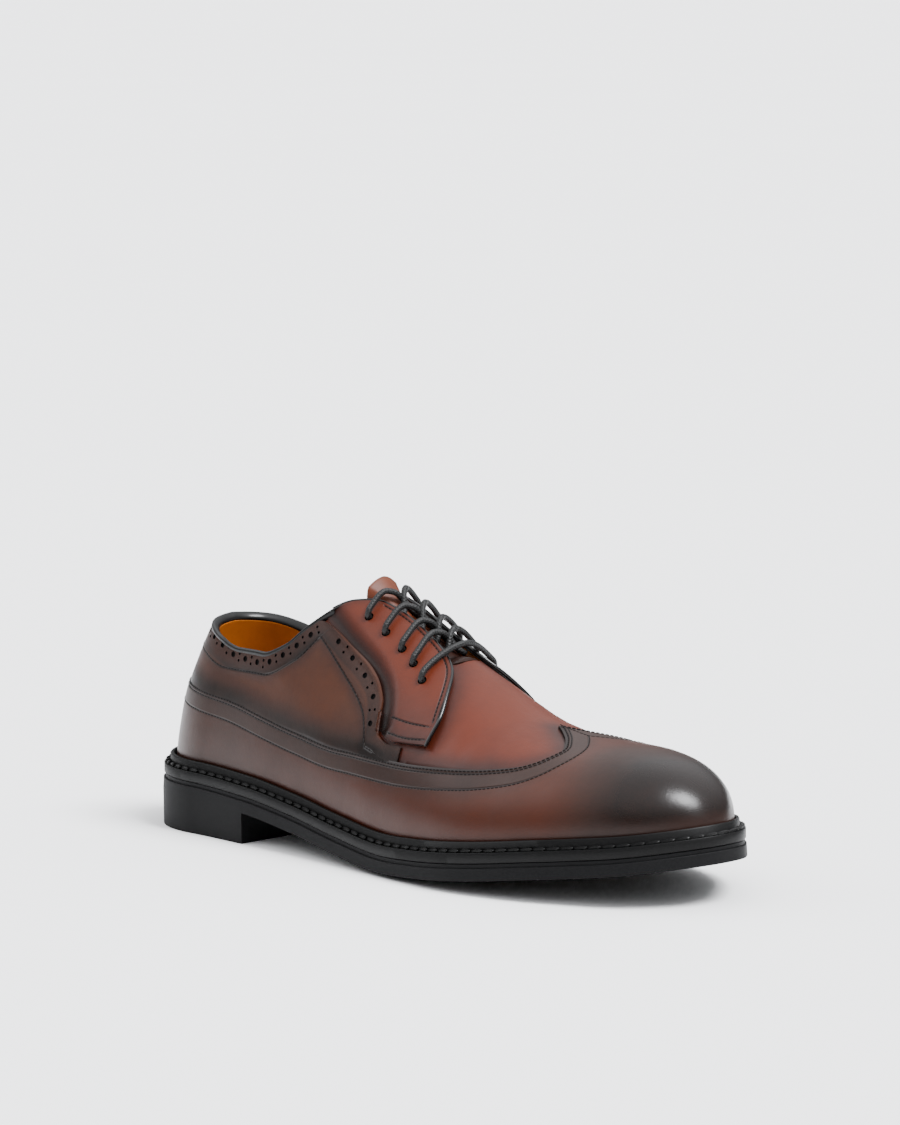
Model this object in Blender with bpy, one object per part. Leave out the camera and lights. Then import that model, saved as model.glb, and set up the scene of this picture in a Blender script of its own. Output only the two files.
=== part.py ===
"""Brogue shoe for the right foot: a derby with a long wing, on a storm-welted rubber sole.

The shoe points along +X and stands on Z = 0. -Y is its outer (lateral) side and +Y its inner
(medial) side. The origin lies on the floor in the middle of the sole's outline.

All of the leather is cut from one surface, the last. A place on it is given by
    run    0 at the back of the heel, HEEL_RUN where the heel's round ends, TOE_RUN where the
           toe's round starts, 1 at the tip of the toe
    climb  the angle up the section, 0 on the sole and 90 degrees on the crest
    grow   how far the section is grown outwards from the last
"""
import math

import bmesh
import bpy
import numpy as np

MM = 0.001

# Driving sizes of the last and of the sole
SHOE_LENGTH = 306 * MM
BALL_WIDTH = 90 * MM
SEAT_WIDTH = 55 * MM
INSTEP_HEIGHT = 75 * MM
TOE_HEIGHT = 31.5 * MM
SEAT_HEIGHT = 26 * MM
SOLE_THICKNESS = 11 * MM
EDGE_LIFT = 1.8 * MM
TOE_SPRING = 15.4 * MM
HEEL_LEAN = 17 * MM
HEEL_BREAST = 73 * MM
SEAT_LENGTH = 40 * MM
TOE_LENGTH = 60 * MM
TOE_SLOPE = 51 * MM
TOE_SWING = 1.0 * MM

# Walls, layers and clearances
FIT = 0.3 * MM
FACING_FIT = 0.45 * MM
WALL = 2.0 * MM
WING_THICKNESS = 1.6 * MM
QUARTER_THICKNESS = 1.4 * MM
FACING_THICKNESS = 2.0 * MM
TONGUE_THICKNESS = 2.0 * MM
TONGUE_FLARE = 6.0 * MM
# Ribs of the wing rise straight first and lean to its peak by this power of their height
WING_BEND = 3
INSOLE_THICKNESS = 3.0 * MM
INSOLE_MARGIN = 0.6 * MM
BINDING_OVERHANG = 0.5 * MM

# Welt, storm rim, edge of the sole
EDGE_WIDTH = 7.9 * MM
EDGE_FLARE = 0.6 * MM
WELT_THICKNESS = 4.2 * MM
WELT_INSET = 6.0 * MM
# Climb of the ridge line over the middle of the foot
CREST = 90.0
# A crossing lace between its eyelet and the middle: shares of the run, and climbs up and down
LACE_CROSSING = {"share": (0.35, 0.65), "climb": (79.0, 83.5, 84.5)}
# Half of the gap at the back seam, as a share of the gap between the layers
BACK_SEAM = 0.7
RIM_HEIGHT = 4.0 * MM
RIM_THICKNESS = 1.8 * MM
RIM_ROUND = 0.4 * MM
RIM_LEAN = 0.9 * MM
GROOVE_HEIGHT = 1.6 * MM
GROOVE_DEPTH = 0.8 * MM
HEEL_FLARE = 0.5 * MM

# Eyelets and lace
EYELET_HOLE = 4.0 * MM
LACE = 2.5 * MM
LACE_JOIN = 0.3 * MM

# The crest slopes under the lace, where a growth gives this share of its height as a clearance
CREST_SHARE = 0.78

# Where the rounds of heel and toe meet the middle of the last, in runs
HEEL_RUN = 0.2
TOE_RUN = 0.8

# How square the rounds are: 2 is an ellipse
HEEL_ROUND = 2.1
TOE_ROUND = 2.3
SLOPE_ROUND = 2.0

# Numbers of facets
HEEL_COLUMNS = 7
MIDDLE_COLUMNS = 18
TOE_COLUMNS = 10
WING_ROWS = 7
TOP_ROWS = 5
QUARTER_COLUMNS = 22
FACING_COLUMNS = 14
BINDING_COLUMNS = 26
PANEL_ROWS = 4
SOLE_ROWS = 6
TONGUE_COLUMNS = 13
TONGUE_ROWS = 4
STRAND_STOPS = 12
BAR_STOPS = 14
LACE_SIDES = 6
HOLE_SIDES = 12

# More columns where the throat and the peak of the wing turn
EXTRA_COLUMNS = (0.55, 0.585, 0.615, 0.85, 0.87)

# Sections of the last: station as a share of the length, half widths, crest, squareness
SECTIONS = {
    "station": (0.016, 0.131, 0.245, 0.343, 0.425, 0.507, 0.588,
                0.670, 0.735, 0.801, 0.866, 0.931, 0.984),
    "lateral": (0.489 * SEAT_WIDTH, 0.498 * SEAT_WIDTH, 0.547 * SEAT_WIDTH, 0.362 * BALL_WIDTH,
                0.401 * BALL_WIDTH, 0.448 * BALL_WIDTH, 0.490 * BALL_WIDTH, 0.512 * BALL_WIDTH,
                0.492 * BALL_WIDTH, 0.447 * BALL_WIDTH, 0.385 * BALL_WIDTH, 0.352 * BALL_WIDTH,
                0.284 * BALL_WIDTH),
    "medial": (0.485 * SEAT_WIDTH, 0.502 * SEAT_WIDTH, 0.465 * SEAT_WIDTH, 0.279 * BALL_WIDTH,
               0.307 * BALL_WIDTH, 0.362 * BALL_WIDTH, 0.434 * BALL_WIDTH, 0.484 * BALL_WIDTH,
               0.482 * BALL_WIDTH, 0.463 * BALL_WIDTH, 0.412 * BALL_WIDTH, 0.340 * BALL_WIDTH,
               0.235 * BALL_WIDTH),
    "crest": (1.147 * INSTEP_HEIGHT, 1.147 * INSTEP_HEIGHT, 1.200 * INSTEP_HEIGHT,
              1.213 * INSTEP_HEIGHT, 1.133 * INSTEP_HEIGHT, 1.000 * INSTEP_HEIGHT,
              0.820 * INSTEP_HEIGHT, 0.620 * INSTEP_HEIGHT, 1.238 * TOE_HEIGHT,
              1.079 * TOE_HEIGHT, 1.000 * TOE_HEIGHT, 0.962 * TOE_HEIGHT, 0.930 * TOE_HEIGHT),
    "square": (2.10, 2.10, 2.00, 1.85, 1.75, 1.75, 1.80, 1.90, 2.00, 2.10, 2.15, 2.20, 2.20),
}

# Top edge of the sole: share of the heel's rise and share of the toe spring at each station
SOLE_LINE = {
    "station": (0.00, 0.12, 0.24, 0.34, 0.44, 0.54, 0.60, 0.70, 0.80, 0.90, 1.00),
    "heel": (1.00, 0.97, 0.835, 0.55, 0.21, 0.00, 0.00, 0.00, 0.00, 0.00, 0.00),
    "toe": (0.00, 0.00, 0.00, 0.00, 0.00, 0.00, 0.05, 0.23, 0.47, 0.69, 1.00),
}

# Belly of the tread below its own edge, as a share of SOLE_BELLY
SOLE_BELLY = 3.2 * MM
BELLY = {
    "station": (0.24, 0.34, 0.44, 0.52, 0.62, 0.72, 0.82, 0.92, 1.00),
    "depth": (0.00, 0.15, 0.45, 1.00, 1.00, 0.90, 0.70, 0.35, 0.00),
}

# Back of the heel: lean forwards, as shares of HEEL_LEAN, against height in INSTEP_HEIGHTs
BACK_CURVE = {
    "height": (0.00, 0.20, 0.40, 0.60, 0.80, 1.04),
    "lean": (0.00, 0.235, 0.38, 0.62, 0.82, 1.00),
}
LEAN_FULL = 0.131
LEAN_END = 0.392

# The axis of the last swings towards the inner side at the toe, as a share of TOE_SWING
AXIS = {
    "station": (0.00, 0.59, 0.75, 0.98),
    "swing": (0.00, 0.00, 0.25, 1.00),
}

# Bulge of the section just above the sole
BULGE = 0.05
BULGE_HEIGHT = 18 * MM

# Edges of the leather pieces, as (run, climb) pairs. Each rib goes from its foot to its top.
COLLAR = {
    "run": (0.000, 0.096, 0.178, 0.226, 0.276, 0.323, 0.354, 0.374, 0.391),
    "climb": (43.5, 42.0, 38.5, 35.8, 35.8, 40.5, 48.0, 53.0, 57.5),
}
COLLAR_DROP = 3.2
BINDING_DROP = 2.4
BINDING_RISE = 0.6

THROAT = {
    "foot": (0.415, 0.440, 0.470, 0.510, 0.540, 0.560, 0.580, 0.600, 0.620),
    "run": (0.406, 0.425, 0.446, 0.500, 0.540, 0.556, 0.568, 0.574, 0.576),
    "climb": (58.5, 65.0, 69.5, 71.0, 70.8, 72.0, 75.5, 81.0, 90.0),
}
VAMP_CREST = {
    "foot": (0.700, 0.800, 0.870, 0.905, 0.950, 1.000),
    "run": (0.610, 0.665, 0.714, 0.800, 0.900, 1.000),
}
WING_EDGE = {
    "foot": (0.000, 0.096, 0.231, 0.318, 0.396, 0.471, 0.544, 0.611, 0.669, 0.710,
             0.755, 0.785, 0.810, 0.830, 0.850, 0.870, 0.905, 0.950, 1.000),
    "run": (0.000, 0.096, 0.231, 0.318, 0.396, 0.471, 0.544, 0.611, 0.665, 0.707,
            0.742, 0.759, 0.767, 0.754, 0.732, 0.714, 0.800, 0.900, 1.000),
    "climb": (24.0, 23.0, 20.5, 19.0, 20.0, 23.5, 28.0, 32.5, 38.5, 44.0,
              50.5, 58.0, 68.0, 77.0, 85.0, 90.0, 90.0, 90.0, 90.0),
}
PEAK_FOOT = 0.87
WING_GAP = 0.6
QUARTER_TOP = {
    "foot": (0.435, 0.460, 0.485, 0.505, 0.520, 0.535, 0.550, 0.564),
    "run": (0.388, 0.436, 0.478, 0.503, 0.515, 0.523, 0.540, 0.564),
    "climb": (53.2, 52.2, 50.8, 48.0, 43.6, 33.4, 32.6, 34.4),
}
FACING = {
    "foot_run": (0.396, 0.441, 0.484, 0.509, 0.521, 0.529, 0.541, 0.571, 0.604),
    "foot_climb": (56.6, 53.5, 52.0, 49.0, 44.0, 36.5, 34.2, 36.2, 39.4),
    "run": (0.396, 0.426, 0.461, 0.504, 0.534, 0.561, 0.579, 0.594, 0.606),
    "climb": (59.0, 68.5, 77.0, 79.0, 78.5, 76.5, 72.5, 63.0, 49.5),
}
TONGUE = {
    "foot_run": (0.432, 0.465, 0.500, 0.520, 0.540, 0.556, 0.5655, 0.5715, 0.5735),
    "foot_climb": (62.0, 60.0, 60.0, 63.0, 70.0, 74.0, 76.5, 81.5, 85.5),
    "run": (0.432, 0.465, 0.500, 0.520, 0.540, 0.556, 0.5660, 0.5720, 0.5745),
}
TONGUE_SINK = 4.0 * MM
SINK = {
    "run": (0.432, 0.550, 0.560, 0.570, 0.575),
    "share": (1.00, 1.00, 0.45, 0.05, 0.02),
}
FLARE_RUN = 0.478

EYELETS = {
    "run": (0.449, 0.481, 0.511, 0.534, 0.556),
    "climb": (66.0, 65.0, 64.0, 62.5, 59.5),
}

LAST_TUCK = 0.549
TUCK_CLIMB = 77.5
BAR_AHEAD = 0.010

LATERAL = -1
MEDIAL = 1

LEATHER_TAN = (0.235, 0.080, 0.036)
LEATHER_GREY = (0.135, 0.058, 0.034)
LEATHER_DARK = (0.100, 0.040, 0.024)
LINING = (0.420, 0.190, 0.050)
RUBBER = (0.012, 0.012, 0.013)
BLACK = (0.010, 0.010, 0.010)


def smooth(x, xs, ys):
    """Value at x of the curve through the table, with no overshoot between its points."""
    xs = np.asarray(xs, float)
    ys = np.asarray(ys, float)
    x = np.clip(np.asarray(x, float), xs[0], xs[-1])
    step = np.diff(xs)
    slope = np.diff(ys) / step
    tangent = np.zeros_like(ys)
    for i in range(1, len(xs) - 1):
        if slope[i - 1] * slope[i] > 0:
            a = 2 * step[i] + step[i - 1]
            b = step[i] + 2 * step[i - 1]
            tangent[i] = (a + b) / (a / slope[i - 1] + b / slope[i])
    tangent[0] = slope[0]
    tangent[-1] = slope[-1]
    i = np.clip(np.searchsorted(xs, x, side="right") - 1, 0, len(xs) - 2)
    t = (x - xs[i]) / step[i]
    start = (2 * t**3 - 3 * t**2 + 1) * ys[i] + (t**3 - 2 * t**2 + t) * step[i] * tangent[i]
    end = (3 * t**2 - 2 * t**3) * ys[i + 1] + (t**3 - t**2) * step[i] * tangent[i + 1]
    return start + end


def section(x, column):
    return smooth(x / SHOE_LENGTH, SECTIONS["station"], SECTIONS[column])


def sole_top(x):
    """Height of the sole's top edge over the floor at x."""
    station = x / SHOE_LENGTH
    ball = SOLE_THICKNESS + EDGE_LIFT
    heel = smooth(station, SOLE_LINE["station"], SOLE_LINE["heel"])
    toe = smooth(station, SOLE_LINE["station"], SOLE_LINE["toe"])
    return ball + (SEAT_HEIGHT - ball) * heel + TOE_SPRING * toe


def tread(x, across):
    """Height of the tread: its edge is lifted, its belly is flat where it meets the floor."""
    depth = SOLE_BELLY * smooth(x / SHOE_LENGTH, BELLY["station"], BELLY["depth"])
    edge = sole_top(x) - SOLE_THICKNESS
    return np.maximum(edge - depth * (1 - np.abs(across) ** 2.2), 0.0)


def round_end(t, power):
    return (1 - np.clip(t, 0, 1) ** power) ** (1 / power)


def last(side, run, climb, grow=0.0):
    """Points of the last, grown outwards; climb in degrees."""
    side, run, climb, grow = np.broadcast_arrays(
        np.asarray(side, float), np.asarray(run, float), np.asarray(climb, float), grow)
    back = EDGE_WIDTH - grow
    tip = SHOE_LENGTH - EDGE_WIDTH + grow
    toe_start = SHOE_LENGTH - TOE_LENGTH
    slope_start = SHOE_LENGTH - TOE_SLOPE
    turn = np.clip(run / HEEL_RUN, 0, 1) * math.pi / 2
    middle = np.clip((run - HEEL_RUN) / (TOE_RUN - HEEL_RUN), 0, 1)
    nose = np.clip((run - TOE_RUN) / (1 - TOE_RUN), 0, 1) * math.pi / 2
    x = SEAT_LENGTH + (toe_start - SEAT_LENGTH) * middle + (tip - toe_start) * np.sin(nose)
    in_heel = run < HEEL_RUN
    x = np.where(in_heel, SEAT_LENGTH, x)
    half = np.where(side < 0, section(x, "lateral"), section(x, "medial")) + grow
    square = section(x, "square")
    crest = section(x, "crest") + grow
    crest = crest * round_end((x - slope_start) / (tip - slope_start), SLOPE_ROUND)
    half = half * round_end((x - toe_start) / (tip - toe_start), TOE_ROUND)
    angle = np.radians(np.clip(climb, 0, 90))
    rise = crest * np.sin(angle) ** (2 / square)
    bulge = 1 + BULGE * (1 - (1 - np.clip(rise / BULGE_HEIGHT, 0, 1)) ** 2)
    in_plan = np.cos(angle) ** (2 / square)
    in_plan = np.where(climb >= 90, 0.0, in_plan) * bulge
    ahead = -(SEAT_LENGTH - back) * np.cos(turn) ** (2 / HEEL_ROUND)
    ahead = np.where(in_heel, ahead, 0.0)
    aside = side * half * np.where(in_heel, np.sin(turn) ** (2 / HEEL_ROUND), 1.0)
    z = sole_top(x + ahead) + FIT + rise
    x = x + ahead * in_plan
    y = aside * in_plan + TOE_SWING * smooth(x / SHOE_LENGTH, AXIS["station"], AXIS["swing"])
    fade = np.clip((LEAN_END - x / SHOE_LENGTH) / (LEAN_END - LEAN_FULL), 0, 1)
    fade = fade * fade * (3 - 2 * fade)
    height = (z - SEAT_HEIGHT - FIT) / INSTEP_HEIGHT
    x = x + HEEL_LEAN * fade * smooth(height, BACK_CURVE["height"], BACK_CURVE["lean"])
    return np.stack([x, y, z], -1)


def columns(extra=()):
    """Runs of the columns of facets, closer together in the rounds."""
    heel = np.linspace(0, HEEL_RUN, HEEL_COLUMNS + 1)
    middle = np.linspace(HEEL_RUN, TOE_RUN, MIDDLE_COLUMNS + 1)
    toe = np.linspace(TOE_RUN, 1, TOE_COLUMNS + 1)
    return np.unique(np.round(np.concatenate([heel, middle[1:], toe[1:], extra]), 6))


def centre_of_floor():
    """The middle of the sole's outline, which becomes the origin."""
    edge = EDGE_WIDTH + HEEL_FLARE
    runs = np.linspace(0, 1, 400)
    low = last(LATERAL, runs, 0, EDGE_WIDTH)[:, 1].min()
    high = last(MEDIAL, runs, 0, EDGE_WIDTH)[:, 1].max()
    return np.array([(SHOE_LENGTH - edge + EDGE_WIDTH) / 2, (low + high) / 2, 0.0])


def make_material(name, colour, roughness):
    material = bpy.data.materials.new(name)
    material.use_nodes = True
    shader = material.node_tree.nodes["Principled BSDF"]
    shader.inputs["Base Color"].default_value = (*colour, 1.0)
    shader.inputs["Roughness"].default_value = roughness
    shader.inputs["Metallic"].default_value = 0.0
    return material


def make_object(name, points, faces, colour, roughness=0.45):
    """An object from faces that list their corners' positions in points."""
    mesh = bpy.data.meshes.new(name)
    work = bmesh.new()
    origin = centre_of_floor()
    corners = [work.verts.new(tuple(np.asarray(point) - origin)) for point in points]
    for face in faces:
        work.faces.new([corners[i] for i in face])
    bmesh.ops.remove_doubles(work, verts=work.verts[:], dist=1e-7)
    bmesh.ops.dissolve_degenerate(work, dist=1e-7, edges=work.edges[:])
    loose = [vert for vert in work.verts if not vert.link_faces]
    bmesh.ops.delete(work, geom=loose, context="VERTS")
    bmesh.ops.recalc_face_normals(work, faces=work.faces[:])
    work.to_mesh(mesh)
    work.free()
    mesh.shade_smooth()
    mesh.set_sharp_from_angle(angle=math.radians(38))
    obj = bpy.data.objects.new(name, mesh)
    bpy.context.scene.collection.objects.link(obj)
    obj.data.materials.append(make_material(name, colour, roughness))
    return obj


def weld(points):
    """Number of the first point at each place, so that shared edges share their corners."""
    seen = {}
    return [seen.setdefault(tuple(np.round(point / 1e-7).astype(int)), i)
            for i, point in enumerate(points)]


def grid_faces(rows, row_length, start=0):
    """Triangles of a grid of points that is stored row by row, all split the same way."""
    faces = []
    for i in range(rows - 1):
        for j in range(row_length - 1):
            a = start + i * row_length + j
            faces.append((a, a + row_length, a + row_length + 1))
            faces.append((a, a + row_length + 1, a + 1))
    return faces


def shell(name, sheets, colour, roughness=0.45):
    """A closed wall between the outer and inner points of one or more grids."""
    outer = np.concatenate([sheet[0].reshape(-1, 3) for sheet in sheets])
    inner = np.concatenate([sheet[1].reshape(-1, 3) for sheet in sheets])
    same = weld(outer)
    quads = []
    start = 0
    for sheet in sheets:
        rows, row_length = sheet[0].shape[:2]
        quads += grid_faces(rows, row_length, start)
        start += rows * row_length
    faces = []
    uses = {}
    for quad in quads:
        face = []
        for corner in (same[i] for i in quad):
            if corner not in face:
                face.append(corner)
        if len(face) < 3:
            continue
        faces.append(tuple(face))
        for a, b in zip(face, face[1:] + face[:1]):
            uses[frozenset((a, b))] = uses.get(frozenset((a, b)), []) + [(a, b)]
    count = len(outer)
    walls = [(a, b, b + count, a + count)
             for ends in uses.values() if len(ends) == 1 for a, b in ends]
    inside = [tuple(i + count for i in reversed(face)) for face in faces]
    points = np.concatenate([outer, inner])
    return make_object(name, points, faces + inside + walls, colour, roughness)


def ribs(foot_run, foot_climb, top_run, top_climb, spread):
    """Feet and tops of ribs through the rows of a table of edges.

    spread is the number of even steps along the table, or the runs of the ribs' feet.
    """
    table = np.array([foot_run, foot_climb, top_run, top_climb], float)
    if not np.isscalar(spread):
        return [smooth(spread, foot_run, row) for row in table]
    scale = np.array([[1.0], [1 / 120], [1.0], [1 / 120]])
    lengths = np.linalg.norm(np.diff(table * scale, axis=1), axis=0)
    along = np.concatenate([[0.0], np.cumsum(lengths)])
    places = np.linspace(0, along[-1], spread + 1)
    return [smooth(places, along, row) for row in table]


def panel(side, edges, spread, rows, inside, outside, bend=1):
    """Outer and inner grid of a leather piece between its foot line and its top line."""
    foot_run, foot_climb, top_run, top_climb = ribs(*edges, spread)
    t = np.linspace(0, 1, rows + 1)
    run = foot_run[:, None] + (top_run - foot_run)[:, None] * t ** bend
    climb = foot_climb[:, None] + (top_climb - foot_climb)[:, None] * t
    return last(side, run, climb, outside), last(side, run, climb, inside)


def both(make, *args):
    return [make(side, *args) for side in (LATERAL, MEDIAL)]


def wing_edges():
    """Foot line and top line of the long wing."""
    feet = (0.0,) * len(WING_EDGE["foot"])
    return WING_EDGE["foot"], feet, WING_EDGE["run"], WING_EDGE["climb"]


def upper_edges():
    """Foot line and top line of the upper: collar, throat, then the crest to the toe."""
    foot = COLLAR["run"] + THROAT["foot"] + VAMP_CREST["foot"]
    run = COLLAR["run"] + THROAT["run"] + VAMP_CREST["run"]
    collar = tuple(climb - COLLAR_DROP for climb in COLLAR["climb"])
    climb = collar + THROAT["climb"] + (CREST,) * len(VAMP_CREST["run"])
    return foot, (0.0,) * len(foot), run, climb


def upper_top(side):
    """The band of the upper from the wing's edge up to collar, throat and crest."""
    runs = columns(EXTRA_COLUMNS)
    runs = runs[runs <= PEAK_FOOT + 1e-9]
    wing = ribs(*wing_edges(), runs)
    top = ribs(*upper_edges(), runs)
    t = np.linspace(0, 1, TOP_ROWS + 1)
    run = wing[2][:, None] + (top[2] - wing[2])[:, None] * t
    climb = wing[3][:, None] + (top[3] - wing[3])[:, None] * t
    return last(side, run, climb, 0.0), last(side, run, climb, -WALL)


def upper():
    """The hollow body of the shoe, open at collar, throat and underneath."""
    runs = columns(EXTRA_COLUMNS)
    sheets = both(panel, wing_edges(), runs, WING_ROWS, -WALL, 0.0, WING_BEND)
    sheets += both(upper_top)
    return shell("upper", sheets, LEATHER_TAN, 0.4)


def wing_cap():
    """The long wing: one overlay around the toe, both sides and the heel."""
    runs = columns(EXTRA_COLUMNS)
    sheets = both(panel, wing_edges(), runs, WING_ROWS, FIT, FIT + WING_THICKNESS, WING_BEND)
    return shell("wing_cap", sheets, LEATHER_DARK, 0.38)


def wing_climb(run):
    """Climb of the wing's edge along the side, up to where it turns up to its peak."""
    side = WING_EDGE["run"].index(max(WING_EDGE["run"][:14]))
    return smooth(run, WING_EDGE["run"][:side], WING_EDGE["climb"][:side])


def quarter(side, name):
    """The rear overlay between the wing and the collar, and its strip down to the vamp."""
    foot = COLLAR["run"][:-1] + QUARTER_TOP["foot"]
    start = BACK_SEAM * FIT / SHOE_LENGTH
    foot = (start,) + foot[1:]
    climb = tuple(float(wing_climb(run)) + WING_GAP for run in foot)
    top_run = (start,) + COLLAR["run"][1:-1] + QUARTER_TOP["run"]
    collar = tuple(value - COLLAR_DROP for value in COLLAR["climb"][:-1])
    top_climb = collar + QUARTER_TOP["climb"]
    sheet = panel(side, (foot, climb, top_run, top_climb), QUARTER_COLUMNS, PANEL_ROWS,
                  FIT, FIT + QUARTER_THICKNESS)
    return shell(name, [sheet], LEATHER_GREY, 0.45)


def facing(side, name):
    """The eyelet facing: the tab that the lace draws together."""
    edges = (FACING["foot_run"], FACING["foot_climb"], FACING["run"], FACING["climb"])
    sheet = panel(side, edges, FACING_COLUMNS, PANEL_ROWS, FACING_FIT,
                  FACING_FIT + FACING_THICKNESS)
    return shell(name, [sheet], LEATHER_TAN, 0.4)


def collar_binding():
    """The rolled edge on top of the upper's wall around the collar."""
    low = tuple(climb - BINDING_DROP for climb in COLLAR["climb"])
    high = tuple(climb + BINDING_RISE for climb in COLLAR["climb"])
    edges = (COLLAR["run"], low, COLLAR["run"], high)
    outside = FIT + QUARTER_THICKNESS + BINDING_OVERHANG
    sheets = both(panel, edges, BINDING_COLUMNS, 1, -WALL - BINDING_OVERHANG, outside)
    return shell("collar_binding", sheets, BLACK, 0.4)


def tongue_sheet(side):
    """Half of the tongue: sunk under the facings, flared above them, flush at the vamp."""
    edges = (TONGUE["foot_run"], TONGUE["foot_climb"], TONGUE["run"], (90.0,) * 9)
    foot_run, foot_climb, top_run, top_climb = ribs(*edges, TONGUE_COLUMNS)
    t = np.linspace(0, 1, TONGUE_ROWS + 1)
    run = foot_run[:, None] + (top_run - foot_run)[:, None] * t
    climb = foot_climb[:, None] + (top_climb - foot_climb)[:, None] * t
    sink = TONGUE_SINK * smooth(run, SINK["run"], SINK["share"])
    facing_edge = smooth(run, FACING["run"], FACING["climb"])
    proud = np.clip((FLARE_RUN - run) / (FLARE_RUN - TONGUE["run"][0]), 0, 1)
    free = np.clip((climb - facing_edge - 1.0) / 6.0, 0, 1)
    grow = TONGUE_FLARE * proud * free - sink
    return last(side, run, climb, grow), last(side, run, climb, grow - TONGUE_THICKNESS)


def tongue():
    return shell("tongue", both(tongue_sheet), LEATHER_TAN, 0.4)


def plan_ring(runs, grow, height):
    """A closed line around the last on the sole, at a height over or under its top edge."""
    lines = []
    for side in (LATERAL, MEDIAL):
        line = last(side, runs, 0.0, grow)
        line[:, 2] = sole_top(np.clip(line[:, 0], 0, SHOE_LENGTH)) + height
        lines.append(line)
    return np.concatenate([lines[0], lines[1][::-1]])


def skin(rings, closed=False):
    """Points and faces between lines of equal length that follow each other."""
    points = np.concatenate(rings)
    length = len(rings[0])
    faces = grid_faces(len(rings), length)
    if closed:
        final = (len(rings) - 1) * length
        faces += [(final + j, j, j + 1, final + j + 1) for j in range(length - 1)]
    return points, faces


def rim_lean(runs):
    """The storm rim leans out with the upper, except around the tip of the toe."""
    return RIM_LEAN * smooth(runs, (0.0, 0.2, 0.8, 0.92, 1.0), (0.8, 0.8, 1.0, 0.3, 0.0))


def welt():
    """Storm welt: a flat strip around the feather line with a raised rim along the upper."""
    runs = columns()
    rim = FIT + WING_THICKNESS + FIT
    lean = rim_lean(runs)
    edge = EDGE_WIDTH - EDGE_FLARE
    rings = [
        plan_ring(runs, -WELT_INSET, -WELT_THICKNESS),
        plan_ring(runs, -WELT_INSET, 0.0),
        plan_ring(runs, rim, 0.0),
        plan_ring(runs, rim + lean, RIM_HEIGHT),
        plan_ring(runs, rim + lean + RIM_THICKNESS, RIM_HEIGHT),
        plan_ring(runs, rim + RIM_THICKNESS + RIM_ROUND, 0.0),
        plan_ring(runs, edge, 0.0),
        plan_ring(runs, edge, -WELT_THICKNESS),
    ]
    points, faces = skin(rings, closed=True)
    return make_object("welt", points, faces, RUBBER, 0.5)


def run_at(x):
    """Run of the column at x, in the middle stretch of the last."""
    share = (x - SEAT_LENGTH) / (SHOE_LENGTH - TOE_LENGTH - SEAT_LENGTH)
    return HEEL_RUN + (TOE_RUN - HEEL_RUN) * share


def across_lines(runs, grow, rows, height):
    """Lines from the lateral to the medial edge of an outline; height(x, across)."""
    left = last(LATERAL, runs, 0.0, grow)
    right = last(MEDIAL, runs, 0.0, grow)
    lines = []
    for t in np.linspace(-1, 1, rows + 1):
        line = left * (1 - t) / 2 + right * (1 + t) / 2
        line[:, 2] = height(np.clip(line[:, 0], 0, SHOE_LENGTH), t)
        lines.append(line)
    return lines


def outsole():
    """Rubber sole and heel in one: groove around its side, arch, toe spring, tread."""
    breast = run_at(HEEL_BREAST)
    runs = columns()
    runs[np.argmin(np.abs(runs - breast))] = breast
    heel_end = int(np.argmin(np.abs(runs - breast)))
    middle = EDGE_WIDTH - EDGE_FLARE / 2
    under_welt = -WELT_THICKNESS - FIT
    groove = under_welt - GROOVE_HEIGHT
    inset = -WELT_INSET - FIT
    sides = [
        plan_ring(runs, inset, 0.0),
        plan_ring(runs, inset, under_welt),
        plan_ring(runs, middle - GROOVE_DEPTH, under_welt),
        plan_ring(runs, middle - GROOVE_DEPTH, groove),
        plan_ring(runs, middle, groove),
        plan_ring(runs, EDGE_WIDTH, -SOLE_THICKNESS),
    ]
    plateau = across_lines(runs, inset, 2, lambda x, t: sole_top(x))
    forward = across_lines(runs[heel_end:], EDGE_WIDTH, SOLE_ROWS, tread)
    heel = across_lines(runs[:heel_end + 1], EDGE_WIDTH, SOLE_ROWS, lambda x, t: 0 * x)
    spread = last(LATERAL, runs[:heel_end + 1], 0.0, EDGE_WIDTH)
    heel_sides = []
    for side, edge in ((LATERAL, heel[0]), (MEDIAL, heel[-1])):
        top = last(side, runs[:heel_end + 1], 0.0, EDGE_WIDTH)
        top[:, 2] = sole_top(np.clip(spread[:, 0], 0, SHOE_LENGTH)) - SOLE_THICKNESS
        heel_sides.append([top, edge])
    breast_wall = [np.array([line[0] for line in forward]), np.array([line[-1] for line in heel])]
    points = []
    faces = []
    for group in [sides, plateau, forward, heel, *heel_sides, breast_wall]:
        group_points, group_faces = skin(group)
        faces += [tuple(i + len(points) for i in face) for face in group_faces]
        points += list(group_points)
    return make_object("outsole", points, faces, RUBBER, 0.55)


def insole():
    """The board that the foot stands on, inside the upper."""
    runs = columns()
    grow = -WALL - INSOLE_MARGIN
    top = FIT + INSOLE_THICKNESS
    low = across_lines(runs, grow, 2, lambda x, t: sole_top(x) + FIT)
    high = across_lines(runs, grow - INSOLE_MARGIN, 2, lambda x, t: sole_top(x) + top)
    points = []
    faces = []
    sides = [[low[0], high[0]], [low[-1], high[-1]]]
    for group in [low, high, *sides]:
        group_points, group_faces = skin(group)
        faces += [tuple(i + len(points) for i in face) for face in group_faces]
        points += list(group_points)
    return make_object("insole", points, faces, LINING, 0.5)


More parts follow.
